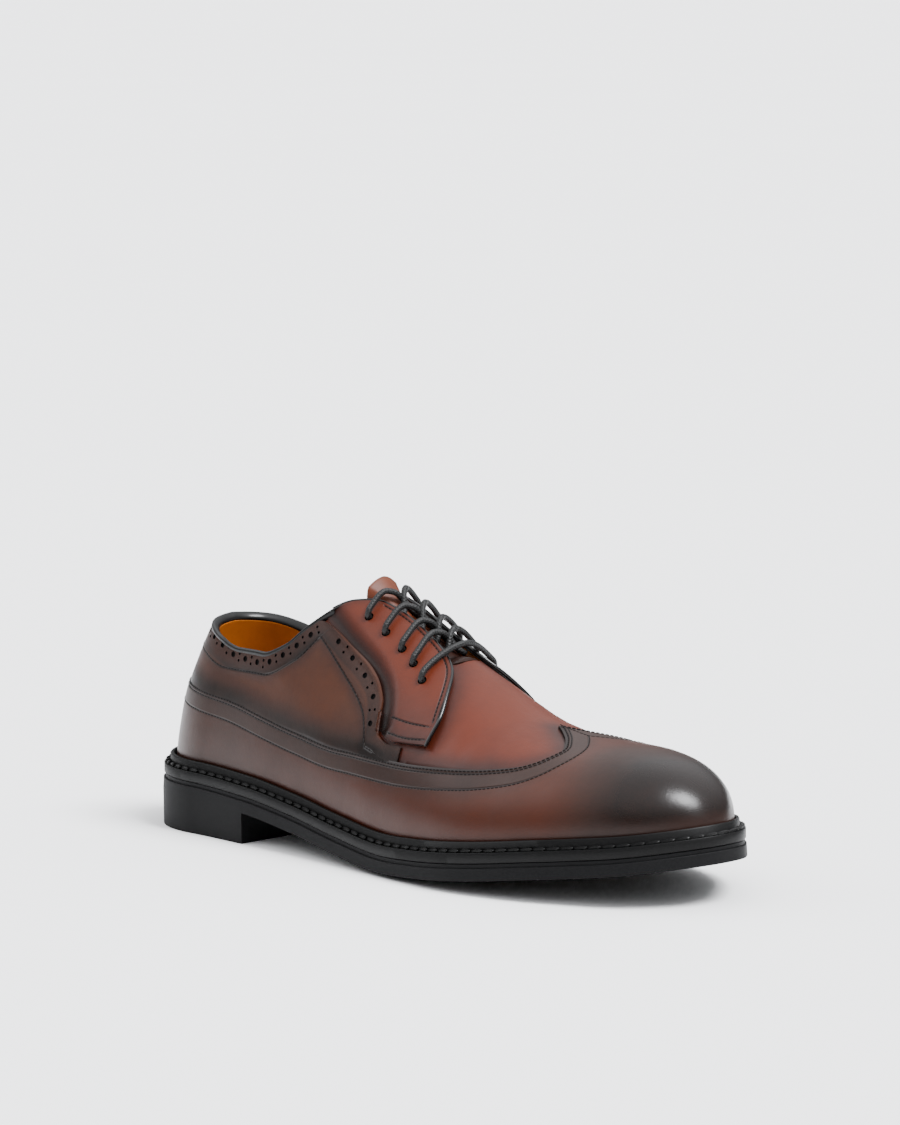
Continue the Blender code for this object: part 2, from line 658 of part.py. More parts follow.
def tube(name, route, width, sides, colour):
    """A round cord along the points of a route, closed at both ends."""
    route = np.asarray(route)
    along = np.gradient(route, axis=0)
    along /= np.linalg.norm(along, axis=1)[:, None]
    points = []
    across = np.cross(along[0], (1.0, 0.0, 0.0))
    for place, direction in zip(route, along):
        across = across - direction * np.dot(across, direction)
        across /= np.linalg.norm(across)
        other = np.cross(direction, across)
        for k in range(sides):
            angle = 2 * math.pi * k / sides
            points.append(place + width / 2 * (across * math.cos(angle) + other * math.sin(angle)))
    faces = []
    for i in range(len(route) - 1):
        for k in range(sides):
            a = i * sides + k
            b = i * sides + (k + 1) % sides
            faces.append((a, b, b + sides, a + sides))
    faces.append(tuple(range(sides)))
    faces.append(tuple(range(len(points) - sides, len(points))))
    return make_object(name, points, faces, colour, 0.6)


def frame_at(side, run, climb):
    """Place on the last, direction along it, direction up its section, and its normal."""
    step = 0.002
    place = last(side, run, climb, 0.0)
    along = last(side, run + step, climb, 0.0) - last(side, run - step, climb, 0.0)
    up = last(side, run, climb + 1, 0.0) - last(side, run, climb - 1, 0.0)
    normal = np.cross(along, up) * -side
    normal /= np.linalg.norm(normal)
    along = np.cross(up, normal)
    along /= np.linalg.norm(along)
    return place, along, np.cross(normal, along), normal


def through(stops, count):
    """A smooth route through places, evenly spread along it."""
    places = np.array(stops)
    along = np.concatenate([[0.0], np.cumsum(np.linalg.norm(np.diff(places, axis=0), axis=1))])
    spread = np.linspace(0, along[-1], count)
    return np.stack([smooth(spread, along, places[:, k]) for k in range(3)], -1)


def lace_height():
    """Height of the lace's middle over the underside of the facing."""
    return FACING_THICKNESS + FIT + LACE / 2


def out_of_hole(side, row):
    """Places of the lace from inside an eyelet to the top of its facing."""
    over = lace_height()
    place, along, up, normal = frame_at(side, EYELETS["run"][row], EYELETS["climb"][row])
    place = place + normal * FACING_FIT
    return [place + normal * FACING_THICKNESS / 2,
            place + normal * (over - LACE / 4),
            place + normal * (over + LACE / 6) + up * LACE * 0.7,
            place + normal * (over + LACE / 6) + up * LACE * 1.6]


def lace_strand(name, side, row, lift):
    """From an eyelet, over the facing's edge, across the throat and under the other facing."""
    under = (FACING_FIT - TONGUE_SINK) / 2
    run = EYELETS["run"][row]
    onward = min(EYELETS["run"][row + 1], LAST_TUCK)
    middle = (run + onward) / 2
    high = FACING_FIT + lace_height() / CREST_SHARE
    near, far = LACE_CROSSING["share"]
    rising, upper_climb, falling = LACE_CROSSING["climb"]
    stops = out_of_hole(side, row)
    stops += [
        last(side, run + near * (middle - run), rising, high + LACE / 8),
        last(side, run + far * (middle - run), upper_climb, high - LACE / 3 + lift / 2),
        last(side, middle, CREST, under + LACE + lift),
        last(-side, (middle + onward) / 2, falling, under + LACE / 8),
        last(-side, onward, TUCK_CLIMB, under),
    ]
    return tube(name, through(stops, STRAND_STOPS), LACE, LACE_SIDES, BLACK)


def join(target, other):
    """Unite a second solid with the first; the second stays as a hidden guide."""
    cut = target.modifiers.new("join", "BOOLEAN")
    cut.operation = "UNION"
    cut.solver = "EXACT"
    cut.object = other
    other.hide_render = True
    other.display_type = "WIRE"


def laces():
    """Four crossings, each of two strands joined where they cross, and a straight bar."""
    for row in range(len(EYELETS["run"]) - 1):
        below = lace_strand(f"lace_cross_{row + 1}", LATERAL, row, 0.0)
        above = lace_strand(f"guide_strand_{row + 1}", MEDIAL, row, LACE - LACE_JOIN)
        join(below, above)
    row = len(EYELETS["run"]) - 1
    crest = last(LATERAL, EYELETS["run"][row] + BAR_AHEAD, CREST,
                 FACING_FIT + lace_height() / CREST_SHARE)
    stops = out_of_hole(LATERAL, row) + [crest] + out_of_hole(MEDIAL, row)[::-1]
    tube("lace_bar", through(stops, BAR_STOPS), LACE, LACE_SIDES, BLACK)


def punch_eyelets(side, pieces):
    """Cut the five eyelet holes of one side through the facing and the wall behind it."""
    points = []
    faces = []
    for run, climb in zip(EYELETS["run"], EYELETS["climb"]):
        place, along, up, normal = frame_at(side, run, climb)
        start = len(points)
        for end in (-2 * WALL, 2 * FACING_THICKNESS):
            for k in range(HOLE_SIDES):
                angle = 2 * math.pi * k / HOLE_SIDES
                spoke = along * math.cos(angle) + up * math.sin(angle)
                points.append(place + normal * end + spoke * EYELET_HOLE / 2)
        for k in range(HOLE_SIDES):
            a = start + k
            b = start + (k + 1) % HOLE_SIDES
            faces.append((a, b, b + HOLE_SIDES, a + HOLE_SIDES))
        faces.append(tuple(range(start, start + HOLE_SIDES)))
        faces.append(tuple(range(start + HOLE_SIDES, start + 2 * HOLE_SIDES)))
    name = "guide_punch_lateral" if side == LATERAL else "guide_punch_medial"
    punch = make_object(name, points, faces, BLACK)
    punch.hide_render = True
    punch.display_type = "WIRE"
    for piece in pieces:
        cut = piece.modifiers.new("eyelets", "BOOLEAN")
        cut.operation = "DIFFERENCE"
        cut.solver = "EXACT"
        cut.object = punch


def main():
    for obj in list(bpy.data.objects):
        bpy.data.objects.remove(obj, do_unlink=True)
    outsole()
    welt()
    insole()
    body = upper()
    tongue()
    wing_cap()
    quarter(LATERAL, "quarter_lateral")
    quarter(MEDIAL, "quarter_medial")
    outer = facing(LATERAL, "facing_lateral")
    inner = facing(MEDIAL, "facing_medial")
    collar_binding()
    punch_eyelets(LATERAL, [body, outer])
    punch_eyelets(MEDIAL, [body, inner])
    laces()


main()
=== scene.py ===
"""Brogue shoe for the right foot, dressed for its picture.

Every piece is laid on the same surface as the CAD model, the last. A place on it is a run along
the shoe (0 at the heel, 1 at the toe), a climb up its section in degrees, and a growth outwards.
"""
import math

import bpy
import numpy as np
from bpy.props import FloatProperty, PointerProperty
from mathutils import Matrix, Vector
from mathutils.kdtree import KDTree


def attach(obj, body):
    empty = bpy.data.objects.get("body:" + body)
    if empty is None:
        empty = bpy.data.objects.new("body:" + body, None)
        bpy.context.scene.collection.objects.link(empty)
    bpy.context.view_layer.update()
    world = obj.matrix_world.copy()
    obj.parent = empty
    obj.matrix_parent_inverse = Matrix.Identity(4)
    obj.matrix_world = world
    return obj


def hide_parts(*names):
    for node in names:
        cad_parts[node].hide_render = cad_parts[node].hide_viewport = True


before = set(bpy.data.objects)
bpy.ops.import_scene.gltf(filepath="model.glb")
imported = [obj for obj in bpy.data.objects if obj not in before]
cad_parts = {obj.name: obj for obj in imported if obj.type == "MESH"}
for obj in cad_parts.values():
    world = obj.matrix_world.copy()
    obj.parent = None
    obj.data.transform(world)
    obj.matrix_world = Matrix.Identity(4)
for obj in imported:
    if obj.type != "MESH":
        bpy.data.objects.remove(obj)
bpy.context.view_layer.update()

bl_info = {
    "name": "Brogue shoe",
    "version": (1, 0, 0),
    "blender": (4, 5, 0),
    "location": "View3D > Sidebar > Brogue",
    "description": "Builds a dressed brogue shoe piece by piece over its CAD frame",
    "category": "Object",
}

MM = 0.001

# Sizes of the last and the sole, as in the part's source
SHOE_LENGTH = 306 * MM
BALL_WIDTH = 90 * MM
SEAT_WIDTH = 55 * MM
INSTEP_HEIGHT = 75 * MM
TOE_HEIGHT = 31.5 * MM
SEAT_HEIGHT = 26 * MM
SOLE_THICKNESS = 11 * MM
EDGE_LIFT = 1.8 * MM
TOE_SPRING = 15.4 * MM
HEEL_LEAN = 17 * MM
HEEL_BREAST = 73 * MM
SEAT_LENGTH = 40 * MM
TOE_LENGTH = 60 * MM
TOE_SLOPE = 51 * MM
TOE_SWING = 1.0 * MM
FIT = 0.3 * MM
FACING_FIT = 0.45 * MM
WALL = 2.0 * MM
WING_THICKNESS = 1.6 * MM
QUARTER_THICKNESS = 1.4 * MM
FACING_THICKNESS = 2.0 * MM
TONGUE_THICKNESS = 2.0 * MM
TONGUE_FLARE = 8.5 * MM
# Ribs of the wing rise straight first and lean to its peak by this power of their height
WING_BEND = 3
# The upper lies this deep under the wing
UPPER_SINK = 0.5 * MM
# Half of the gap at the back seam, as a share of the gap between the layers
BACK_SEAM = 0.7
CREST = 90.0
INSOLE_THICKNESS = 3.0 * MM
INSOLE_MARGIN = 0.6 * MM
EDGE_WIDTH = 7.9 * MM
EDGE_FLARE = 0.6 * MM
HEEL_FLARE = 0.5 * MM
WELT_THICKNESS = 4.2 * MM
WELT_INSET = 6.0 * MM
RIM_HEIGHT = 4.0 * MM
RIM_THICKNESS = 1.8 * MM
RIM_LEAN = 0.9 * MM
GROOVE_HEIGHT = 1.6 * MM
GROOVE_DEPTH = 0.8 * MM
EYELET_HOLE = 4.0 * MM
# The leather closes a little round each eyelet; a hole is cut this deep each way
EYELET_SHARE = 0.94
EYELET_DEPTH = 4.6 * MM
PUNCH_DEPTH = 1.15 * MM
SHALLOW_PUNCH = 0.75 * MM
# Black bead along the free edge of a facing
BEAD_WIDTH = 1.3 * MM
BEAD_HEIGHT = 1.7 * MM
# The rolled edge of the collar stands this far out and in from the last
BINDING_HALF = 2.1 * MM
LACE = 2.5 * MM
LACE_JOIN = 0.3 * MM
CREST_SHARE = 0.78
HEEL_RUN = 0.2
TOE_RUN = 0.8
HEEL_ROUND = 2.1
TOE_ROUND = 2.3
SLOPE_ROUND = 2.0

SECTIONS = {
    "station": (0.016, 0.131, 0.245, 0.343, 0.425, 0.507, 0.588,
                0.670, 0.735, 0.801, 0.866, 0.931, 0.984),
    "lateral": (0.489 * SEAT_WIDTH, 0.498 * SEAT_WIDTH, 0.547 * SEAT_WIDTH, 0.362 * BALL_WIDTH,
                0.401 * BALL_WIDTH, 0.448 * BALL_WIDTH, 0.490 * BALL_WIDTH, 0.512 * BALL_WIDTH,
                0.492 * BALL_WIDTH, 0.447 * BALL_WIDTH, 0.385 * BALL_WIDTH, 0.352 * BALL_WIDTH,
                0.284 * BALL_WIDTH),
    "medial": (0.485 * SEAT_WIDTH, 0.502 * SEAT_WIDTH, 0.465 * SEAT_WIDTH, 0.279 * BALL_WIDTH,
               0.307 * BALL_WIDTH, 0.362 * BALL_WIDTH, 0.434 * BALL_WIDTH, 0.484 * BALL_WIDTH,
               0.482 * BALL_WIDTH, 0.463 * BALL_WIDTH, 0.412 * BALL_WIDTH, 0.340 * BALL_WIDTH,
               0.235 * BALL_WIDTH),
    "crest": (1.147 * INSTEP_HEIGHT, 1.147 * INSTEP_HEIGHT, 1.200 * INSTEP_HEIGHT,
              1.213 * INSTEP_HEIGHT, 1.133 * INSTEP_HEIGHT, 1.000 * INSTEP_HEIGHT,
              0.820 * INSTEP_HEIGHT, 0.620 * INSTEP_HEIGHT, 1.238 * TOE_HEIGHT,
              1.079 * TOE_HEIGHT, 1.000 * TOE_HEIGHT, 0.962 * TOE_HEIGHT, 0.930 * TOE_HEIGHT),
    "square": (2.10, 2.10, 2.00, 1.85, 1.75, 1.75, 1.80, 1.90, 2.00, 2.10, 2.15, 2.20, 2.20),
}
SOLE_LINE = {
    "station": (0.00, 0.12, 0.24, 0.34, 0.44, 0.54, 0.60, 0.70, 0.80, 0.90, 1.00),
    "heel": (1.00, 0.97, 0.835, 0.55, 0.21, 0.00, 0.00, 0.00, 0.00, 0.00, 0.00),
    "toe": (0.00, 0.00, 0.00, 0.00, 0.00, 0.00, 0.05, 0.23, 0.47, 0.69, 1.00),
}
SOLE_BELLY = 3.2 * MM
BELLY = {
    "station": (0.24, 0.34, 0.44, 0.52, 0.62, 0.72, 0.82, 0.92, 1.00),
    "depth": (0.00, 0.15, 0.45, 1.00, 1.00, 0.90, 0.70, 0.35, 0.00),
}
BACK_CURVE = {
    "height": (0.00, 0.20, 0.40, 0.60, 0.80, 1.04),
    "lean": (0.00, 0.235, 0.38, 0.62, 0.82, 1.00),
}
LEAN_FULL = 0.131
LEAN_END = 0.392
AXIS = {
    "station": (0.00, 0.59, 0.75, 0.98),
    "swing": (0.00, 0.00, 0.25, 1.00),
}
BULGE = 0.05
BULGE_HEIGHT = 18 * MM
COLLAR = {
    "run": (0.000, 0.096, 0.178, 0.226, 0.276, 0.323, 0.354, 0.374, 0.391),
    "climb": (43.5, 42.0, 38.5, 35.8, 35.8, 40.5, 48.0, 53.0, 57.5),
}
# Degrees of climb: the leather ends under the rolled edge, which reaches below and above it
DRESSED_DROP = 1.0
BINDING_DROP = 1.6
BINDING_RISE = 0.6
THROAT = {
    "foot": (0.415, 0.440, 0.470, 0.510, 0.540, 0.560, 0.580, 0.600, 0.620),
    "run": (0.406, 0.425, 0.446, 0.500, 0.540, 0.556, 0.568, 0.574, 0.576),
    "climb": (58.5, 65.0, 69.5, 71.0, 70.8, 72.0, 75.5, 81.0, 90.0),
}
VAMP_CREST = {
    "foot": (0.700, 0.800, 0.870, 0.905, 0.950, 1.000),
    "run": (0.610, 0.665, 0.714, 0.800, 0.900, 1.000),
}
WING_EDGE = {
    "foot": (0.000, 0.096, 0.231, 0.318, 0.396, 0.471, 0.544, 0.611, 0.669, 0.710,
             0.755, 0.785, 0.810, 0.830, 0.850, 0.870, 0.905, 0.950, 1.000),
    "run": (0.000, 0.096, 0.231, 0.318, 0.396, 0.471, 0.544, 0.611, 0.665, 0.707,
            0.742, 0.759, 0.767, 0.754, 0.732, 0.714, 0.800, 0.900, 1.000),
    "climb": (24.0, 23.0, 20.5, 19.0, 20.0, 23.5, 28.0, 32.5, 38.5, 44.0,
              50.5, 58.0, 68.0, 77.0, 85.0, 90.0, 90.0, 90.0, 90.0),
}
WING_STOPS = 16
PEAK_FOOT = 0.87
QUARTER_TOP = {
    "foot": (0.435, 0.460, 0.485, 0.505, 0.520, 0.535, 0.550, 0.564),
    "run": (0.388, 0.436, 0.478, 0.503, 0.515, 0.523, 0.540, 0.564),
    "climb": (53.2, 52.2, 50.8, 48.0, 43.6, 33.4, 32.6, 34.4),
}
FACING = {
    "foot_run": (0.396, 0.441, 0.484, 0.509, 0.521, 0.529, 0.541, 0.571, 0.604),
    "foot_climb": (56.6, 53.5, 52.0, 49.0, 44.0, 36.5, 34.2, 36.2, 39.4),
    "run": (0.396, 0.426, 0.461, 0.504, 0.534, 0.561, 0.579, 0.594, 0.606),
    "climb": (59.0, 68.5, 77.0, 79.0, 78.5, 76.5, 72.5, 63.0, 49.5),
}
# The facing's foot, tucked under the quarter's front edge
HIDDEN_FOOT = {
    "run": (0.386, 0.433, 0.475, 0.499, 0.510, 0.518, 0.541, 0.571, 0.604),
    "climb": (55.5, 50.8, 49.0, 46.0, 42.0, 35.2, 34.0, 36.2, 39.4),
}
TONGUE = {
    "foot_run": (0.432, 0.465, 0.500, 0.520, 0.540, 0.556, 0.5655, 0.5715, 0.5735),
    "foot_climb": (62.0, 60.0, 60.0, 63.0, 70.0, 74.0, 76.5, 81.5, 85.5),
    "run": (0.432, 0.465, 0.500, 0.520, 0.540, 0.556, 0.5660, 0.5720, 0.5745),
}
TONGUE_SINK = 4.0 * MM
SINK = {
    "run": (0.432, 0.550, 0.560, 0.570, 0.575),
    "share": (1.00, 1.00, 0.45, 0.05, 0.02),
}
FLARE_RUN = 0.478
EYELETS = {
    "run": (0.449, 0.481, 0.511, 0.534, 0.556),
    "climb": (66.0, 65.0, 64.0, 62.5, 59.5),
}
LAST_TUCK = 0.549
TUCK_CLIMB = 77.5
BAR_AHEAD = 0.010
# A crossing lace between its eyelet and the middle: shares of the run, and climbs up and down
LACE_CROSSING = {"share": (0.35, 0.65), "climb": (79.0, 83.5, 84.5)}
# Height of the lace's middle over the underside of the facing
LACE_OVER = FACING_THICKNESS + FIT + LACE / 2

LATERAL = -1
MEDIAL = 1
SIDES = {LATERAL: "lateral", MEDIAL: "medial"}

# Lines of holes and stitches, read off the photograph
RIDGE = {
    "run": (0.388, 0.441, 0.484, 0.509, 0.521, 0.529),
    "climb": (57.0, 53.5, 51.2, 48.0, 43.2, 34.5),
}
COLLAR_HOLES = {
    "run": (0.100, 0.143, 0.181, 0.228, 0.281, 0.308, 0.334, 0.359, 0.389),
    "climb": (39.5, 38.4, 36.5, 33.0, 32.5, 35.0, 39.0, 44.5, 51.5),
}
FRONT_HOLES = {
    "run": (0.389, 0.426, 0.454, 0.481, 0.501, 0.509),
    "climb": (51.5, 50.0, 48.5, 46.0, 42.0, 31.5),
}
COLLAR_ROW = {
    "run": (0.000, 0.060, 0.138, 0.213, 0.288, 0.354, 0.389),
    "climb": (36.0, 35.0, 32.5, 29.0, 29.5, 38.0, 48.0),
}
FRONT_ROW = {
    "run": (0.389, 0.436, 0.472, 0.491, 0.500, 0.506, 0.520),
    "climb": (48.0, 43.5, 39.5, 36.0, 31.5, 27.5, 27.6),
}
PITCH = {
    "along": (0.0, 0.100, 0.150, 0.240, 0.300),
    "pitch": (0.0120, 0.0126, 0.0104, 0.0090, 0.0088),
}

# Medallion on the toe: (run, climb) of small holes, then of large ones
CURL = ((0.819, 55.0), (0.822, 48.5), (0.829, 43.5), (0.822, 61.5), (0.829, 65.0),
        (0.839, 67.5), (0.849, 67.5), (0.859, 64.0), (0.867, 56.5), (0.869, 48.5))
DIAMOND = ((0.859, 82.5), (0.867, 76.5), (0.874, 69.0), (0.887, 74.0), (0.897, 80.5))
DIAMOND_ENDS = ((0.849, 90.0), (0.909, 90.0))
CURL_LARGE = ((0.839, 39.0), (0.839, 53.5))
CREST_LARGE = ((0.829, 90.0), (0.877, 90.0))

# Colours of the finishes
TAN = "#4a1a09"
RUSSET = "#2a0e07"
GREY_BROWN = "#2f180f"
TOE_BROWN = "#0e0705"
# Near black for dyed edges, also used as painted shade in stitch grooves and along the quarter's
# ridge
SEAM_DYE_AND_SHADE = "#0a0504"
AMBER = "#b4651a"
AMBER_DARK = "#5e2a0a"
THREAD = "#0c0706"
BLACK = "#050505"
RUBBER = "#040405"
BACKDROP = "#efefef"

# Camera: the place that it aims at in the last's own frame, its distance and turns in degrees
CAMERA_AIM = (157.5 * MM, 0.0, 119.4 * MM)
CAMERA_AWAY = 1.853
CAMERA_TURNS = (44.93, 7.28, -0.63)
CAMERA_LENS = 148.66

# Light of the room from below and from above, then two soft boxes: direction, width, power
ROOM_LIGHT = (0.14, 2.6)
SOFT_BOXES = (((0.56, 0.11, 0.80), 15.0, 62.0), ((-0.75, -0.35, 0.60), 20.0, 3.0))


def smooth(x, xs, ys):
    """Value at x of the curve through the table, with no overshoot between its points."""
    xs = np.asarray(xs, float)
    ys = np.asarray(ys, float)
    x = np.clip(np.asarray(x, float), xs[0], xs[-1])
    step = np.diff(xs)
    slope = np.diff(ys) / step
    tangent = np.zeros_like(ys)
    for i in range(1, len(xs) - 1):
        if slope[i - 1] * slope[i] > 0:
            a = 2 * step[i] + step[i - 1]
            b = step[i] + 2 * step[i - 1]
            tangent[i] = (a + b) / (a / slope[i - 1] + b / slope[i])
    tangent[0] = slope[0]
    tangent[-1] = slope[-1]
    i = np.clip(np.searchsorted(xs, x, side="right") - 1, 0, len(xs) - 2)
    t = (x - xs[i]) / step[i]
    start = (2 * t**3 - 3 * t**2 + 1) * ys[i] + (t**3 - 2 * t**2 + t) * step[i] * tangent[i]
    end = (3 * t**2 - 2 * t**3) * ys[i + 1] + (t**3 - t**2) * step[i] * tangent[i + 1]
    return start + end


def section(x, column):
    """A row of the table of sections at x."""
    return smooth(x / SHOE_LENGTH, SECTIONS["station"], SECTIONS[column])


def sole_top(x):
    """Height of the sole's top edge over the floor at x."""
    station = x / SHOE_LENGTH
    ball = SOLE_THICKNESS + EDGE_LIFT
    heel = smooth(station, SOLE_LINE["station"], SOLE_LINE["heel"])
    toe = smooth(station, SOLE_LINE["station"], SOLE_LINE["toe"])
    return ball + (SEAT_HEIGHT - ball) * heel + TOE_SPRING * toe


def tread(x, across):
    """Height of the tread: its edge is lifted, its belly is flat where it meets the floor."""
    depth = SOLE_BELLY * smooth(x / SHOE_LENGTH, BELLY["station"], BELLY["depth"])
    edge = sole_top(x) - SOLE_THICKNESS
    return np.maximum(edge - depth * (1 - np.abs(across) ** 2.2), 0.0)


def round_end(t, power):
    """A rounded end: 1 at its start, 0 at its tip."""
    return (1 - np.clip(t, 0, 1) ** power) ** (1 / power)


def last(side, run, climb, grow=0.0):
    """Points of the last, grown outwards; climb in degrees."""
    side, run, climb, grow = np.broadcast_arrays(
        np.asarray(side, float), np.asarray(run, float), np.asarray(climb, float), grow)
    back = EDGE_WIDTH - grow
    tip = SHOE_LENGTH - EDGE_WIDTH + grow
    toe_start = SHOE_LENGTH - TOE_LENGTH
    slope_start = SHOE_LENGTH - TOE_SLOPE
    turn = np.clip(run / HEEL_RUN, 0, 1) * math.pi / 2
    middle = np.clip((run - HEEL_RUN) / (TOE_RUN - HEEL_RUN), 0, 1)
    nose = np.clip((run - TOE_RUN) / (1 - TOE_RUN), 0, 1) * math.pi / 2
    x = SEAT_LENGTH + (toe_start - SEAT_LENGTH) * middle + (tip - toe_start) * np.sin(nose)
    in_heel = run < HEEL_RUN
    x = np.where(in_heel, SEAT_LENGTH, x)
    half = np.where(side < 0, section(x, "lateral"), section(x, "medial")) + grow
    square = section(x, "square")
    crest = section(x, "crest") + grow
    crest = crest * round_end((x - slope_start) / (tip - slope_start), SLOPE_ROUND)
    half = half * round_end((x - toe_start) / (tip - toe_start), TOE_ROUND)
    angle = np.radians(np.clip(climb, 0, 90))
    rise = crest * np.sin(angle) ** (2 / square)
    bulge = 1 + BULGE * (1 - (1 - np.clip(rise / BULGE_HEIGHT, 0, 1)) ** 2)
    in_plan = np.cos(angle) ** (2 / square)
    in_plan = np.where(climb >= 90, 0.0, in_plan) * bulge
    ahead = -(SEAT_LENGTH - back) * np.cos(turn) ** (2 / HEEL_ROUND)
    ahead = np.where(in_heel, ahead, 0.0)
    aside = side * half * np.where(in_heel, np.sin(turn) ** (2 / HEEL_ROUND), 1.0)
    z = sole_top(x + ahead) + FIT + rise
    x = x + ahead * in_plan
    y = aside * in_plan + TOE_SWING * smooth(x / SHOE_LENGTH, AXIS["station"], AXIS["swing"])
    fade = np.clip((LEAN_END - x / SHOE_LENGTH) / (LEAN_END - LEAN_FULL), 0, 1)
    fade = fade * fade * (3 - 2 * fade)
    height = (z - SEAT_HEIGHT - FIT) / INSTEP_HEIGHT
    x = x + HEEL_LEAN * fade * smooth(height, BACK_CURVE["height"], BACK_CURVE["lean"])
    return np.stack([x, y, z], -1)


def centre_of_floor():
    """The middle of the sole's outline, which is the origin."""
    runs = np.linspace(0, 1, 400)
    low = last(LATERAL, runs, 0, EDGE_WIDTH)[:, 1].min()
    high = last(MEDIAL, runs, 0, EDGE_WIDTH)[:, 1].max()
    return np.array([(SHOE_LENGTH - HEEL_FLARE) / 2, (low + high) / 2, 0.0])


ORIGIN = centre_of_floor()


def unit(vectors):
    """Vectors with a length of 1."""
    return vectors / np.maximum(np.linalg.norm(vectors, axis=-1, keepdims=True), 1e-12)


def surface(side, run, climb, grow=0.0):
    """Places on the last, how they move with run and with climb, and the normals."""
    step = 4e-4
    turn = 0.05
    run = np.clip(run, step, 1 - step)
    climb = np.minimum(climb, 90 - turn)
    place = last(side, run, climb, grow)
    by_run = (last(side, run + step, climb, grow) - last(side, run - step, climb, grow)) / step / 2
    by_climb = (last(side, run, climb + turn, grow) - last(side, run, climb - turn, grow))
    by_climb = by_climb / turn / 2
    return place, by_run, by_climb, unit(np.cross(by_run, by_climb)) * -side


def along_table(table, count, start="run", rise="climb"):
    """Runs and climbs evenly spread along a table; a degree of climb counts as a millimetre."""
    run = np.array(table[start])
    climb = np.array(table[rise])
    lengths = np.hypot(np.diff(run) * SHOE_LENGTH, np.diff(climb) * MM)
    along = np.concatenate([[0.0], np.cumsum(lengths)])
    spread = np.linspace(0, along[-1], count)
    return smooth(spread, along, run), smooth(spread, along, climb)


def walk(side, run, climb, distance, steps=8):
    """The same line after it is moved sideways on the last, down from the edge it follows."""
    place, by_run, by_climb, normal = surface(side, run, climb)
    heading = np.cross(unit(np.gradient(place, axis=0)), normal) * -side
    for _ in range(steps):
        place, by_run, by_climb, normal = surface(side, run, climb)
        heading = unit(heading - normal * (heading * normal).sum(-1, keepdims=True))
        rr = (by_run**2).sum(-1)
        cc = (by_climb**2).sum(-1)
        rc = (by_run * by_climb).sum(-1)
        hr = (heading * by_run).sum(-1)
        hc = (heading * by_climb).sum(-1)
        flat = rr * cc - rc**2
        run = run + distance / steps * (hr * cc - hc * rc) / flat
        climb = climb + distance / steps * (hc * rr - hr * rc) / flat
    return run, np.clip(climb, 0, 90)


def at_distances(side, run, climb, grow, distances, other=None):
    """Runs and climbs at distances along a line on the last, or beside it on another line."""
    place = last(side, run, climb, grow)
    steps = np.linalg.norm(np.diff(place, axis=0), axis=1)
    along = np.concatenate([[0.0], np.cumsum(steps)])
    distances = distances[distances <= along[-1]]
    run, climb = other or (run, climb)
    return np.interp(distances, along, run), np.interp(distances, along, climb)


def line_length(side, run, climb, grow):
    """Length of a line on the last."""
    return np.linalg.norm(np.diff(last(side, run, climb, grow), axis=0), axis=1).sum()


def nearest(points, line, chunk=4000):
    """Distance from each point to the nearest place of a dense line."""
    flat = points.reshape(-1, 3)
    parts = []
    for i in range(0, len(flat), chunk):
        gap = flat[i:i + chunk, None] - line[None]
        parts.append(np.sqrt((gap**2).sum(-1)).min(1))
    return np.concatenate(parts).reshape(points.shape[:-1])


def signed_gap(points, side, run, climb, grow):
    """Distance from places to a line on the last, negative above it."""
    line, by_run, by_climb, normal = surface(side, run, climb, grow)
    inward = np.cross(unit(np.gradient(line, axis=0)), normal) * -side
    flat = points.reshape(-1, 3)
    parts = []
    for i in range(0, len(flat), 3000):
        gap = flat[i:i + 3000, None] - line[None]
        near = (gap**2).sum(-1).argmin(1)
        away = gap[np.arange(len(near)), near]
        way = np.where((away * inward[near]).sum(-1) < 0, -1.0, 1.0)
        parts.append(np.linalg.norm(away, axis=1) * way)
    return np.concatenate(parts).reshape(points.shape[:-1])


def step_up(value, low, high):
    """0 below low, 1 above high, eased between them."""
    t = np.clip((value - low) / (high - low), 0, 1)
    return t * t * (3 - 2 * t)


def columns(heel, middle, toe):
    """Runs of the columns of facets, closer together in the rounds."""
    return np.unique(np.round(np.concatenate([
        np.linspace(0, HEEL_RUN, heel + 1),
        np.linspace(HEEL_RUN, TOE_RUN, middle + 1),
        np.linspace(TOE_RUN, 1, toe + 1)]), 6))


def ribs(foot_run, foot_climb, top_run, top_climb, spread):
    """Feet and tops of ribs through the rows of a table of edges."""
    table = np.array([foot_run, foot_climb, top_run, top_climb], float)
    if not np.isscalar(spread):
        return [smooth(spread, foot_run, row) for row in table]
    scale = np.array([[1.0], [1 / 120], [1.0], [1 / 120]])
    lengths = np.linalg.norm(np.diff(table * scale, axis=1), axis=0)
    along = np.concatenate([[0.0], np.cumsum(lengths)])
    return [smooth(np.linspace(0, along[-1], spread + 1), along, row) for row in table]


def between(rib, t, bend=1):
    """Runs and climbs of a grid between the feet and the tops of ribs; rows climb."""
    foot_run, foot_climb, top_run, top_climb = rib
    t = np.asarray(t)[:, None]
    run = foot_run + (top_run - foot_run) * t ** bend
    return run, foot_climb + (top_climb - foot_climb) * t


def wing_edges():
    """Foot line and top line of the long wing."""
    feet = (0.0,) * len(WING_EDGE["foot"])
    return WING_EDGE["foot"], feet, WING_EDGE["run"], WING_EDGE["climb"]


def upper_edges():
    """Foot line and top line of the upper: collar, throat, then the crest to the toe."""
    foot = COLLAR["run"] + THROAT["foot"] + VAMP_CREST["foot"]
    run = COLLAR["run"] + THROAT["run"] + VAMP_CREST["run"]
    collar = tuple(climb - DRESSED_DROP for climb in COLLAR["climb"])
    climb = collar + THROAT["climb"] + (CREST,) * len(VAMP_CREST["run"])
    return foot, (0.0,) * len(foot), run, climb


def wing_climb(run):
    """Climb of the wing's edge along the side, up to where it turns up to its peak."""
    side = WING_EDGE["run"].index(max(WING_EDGE["run"][:14]))
    return smooth(run, WING_EDGE["run"][:side], WING_EDGE["climb"][:side])


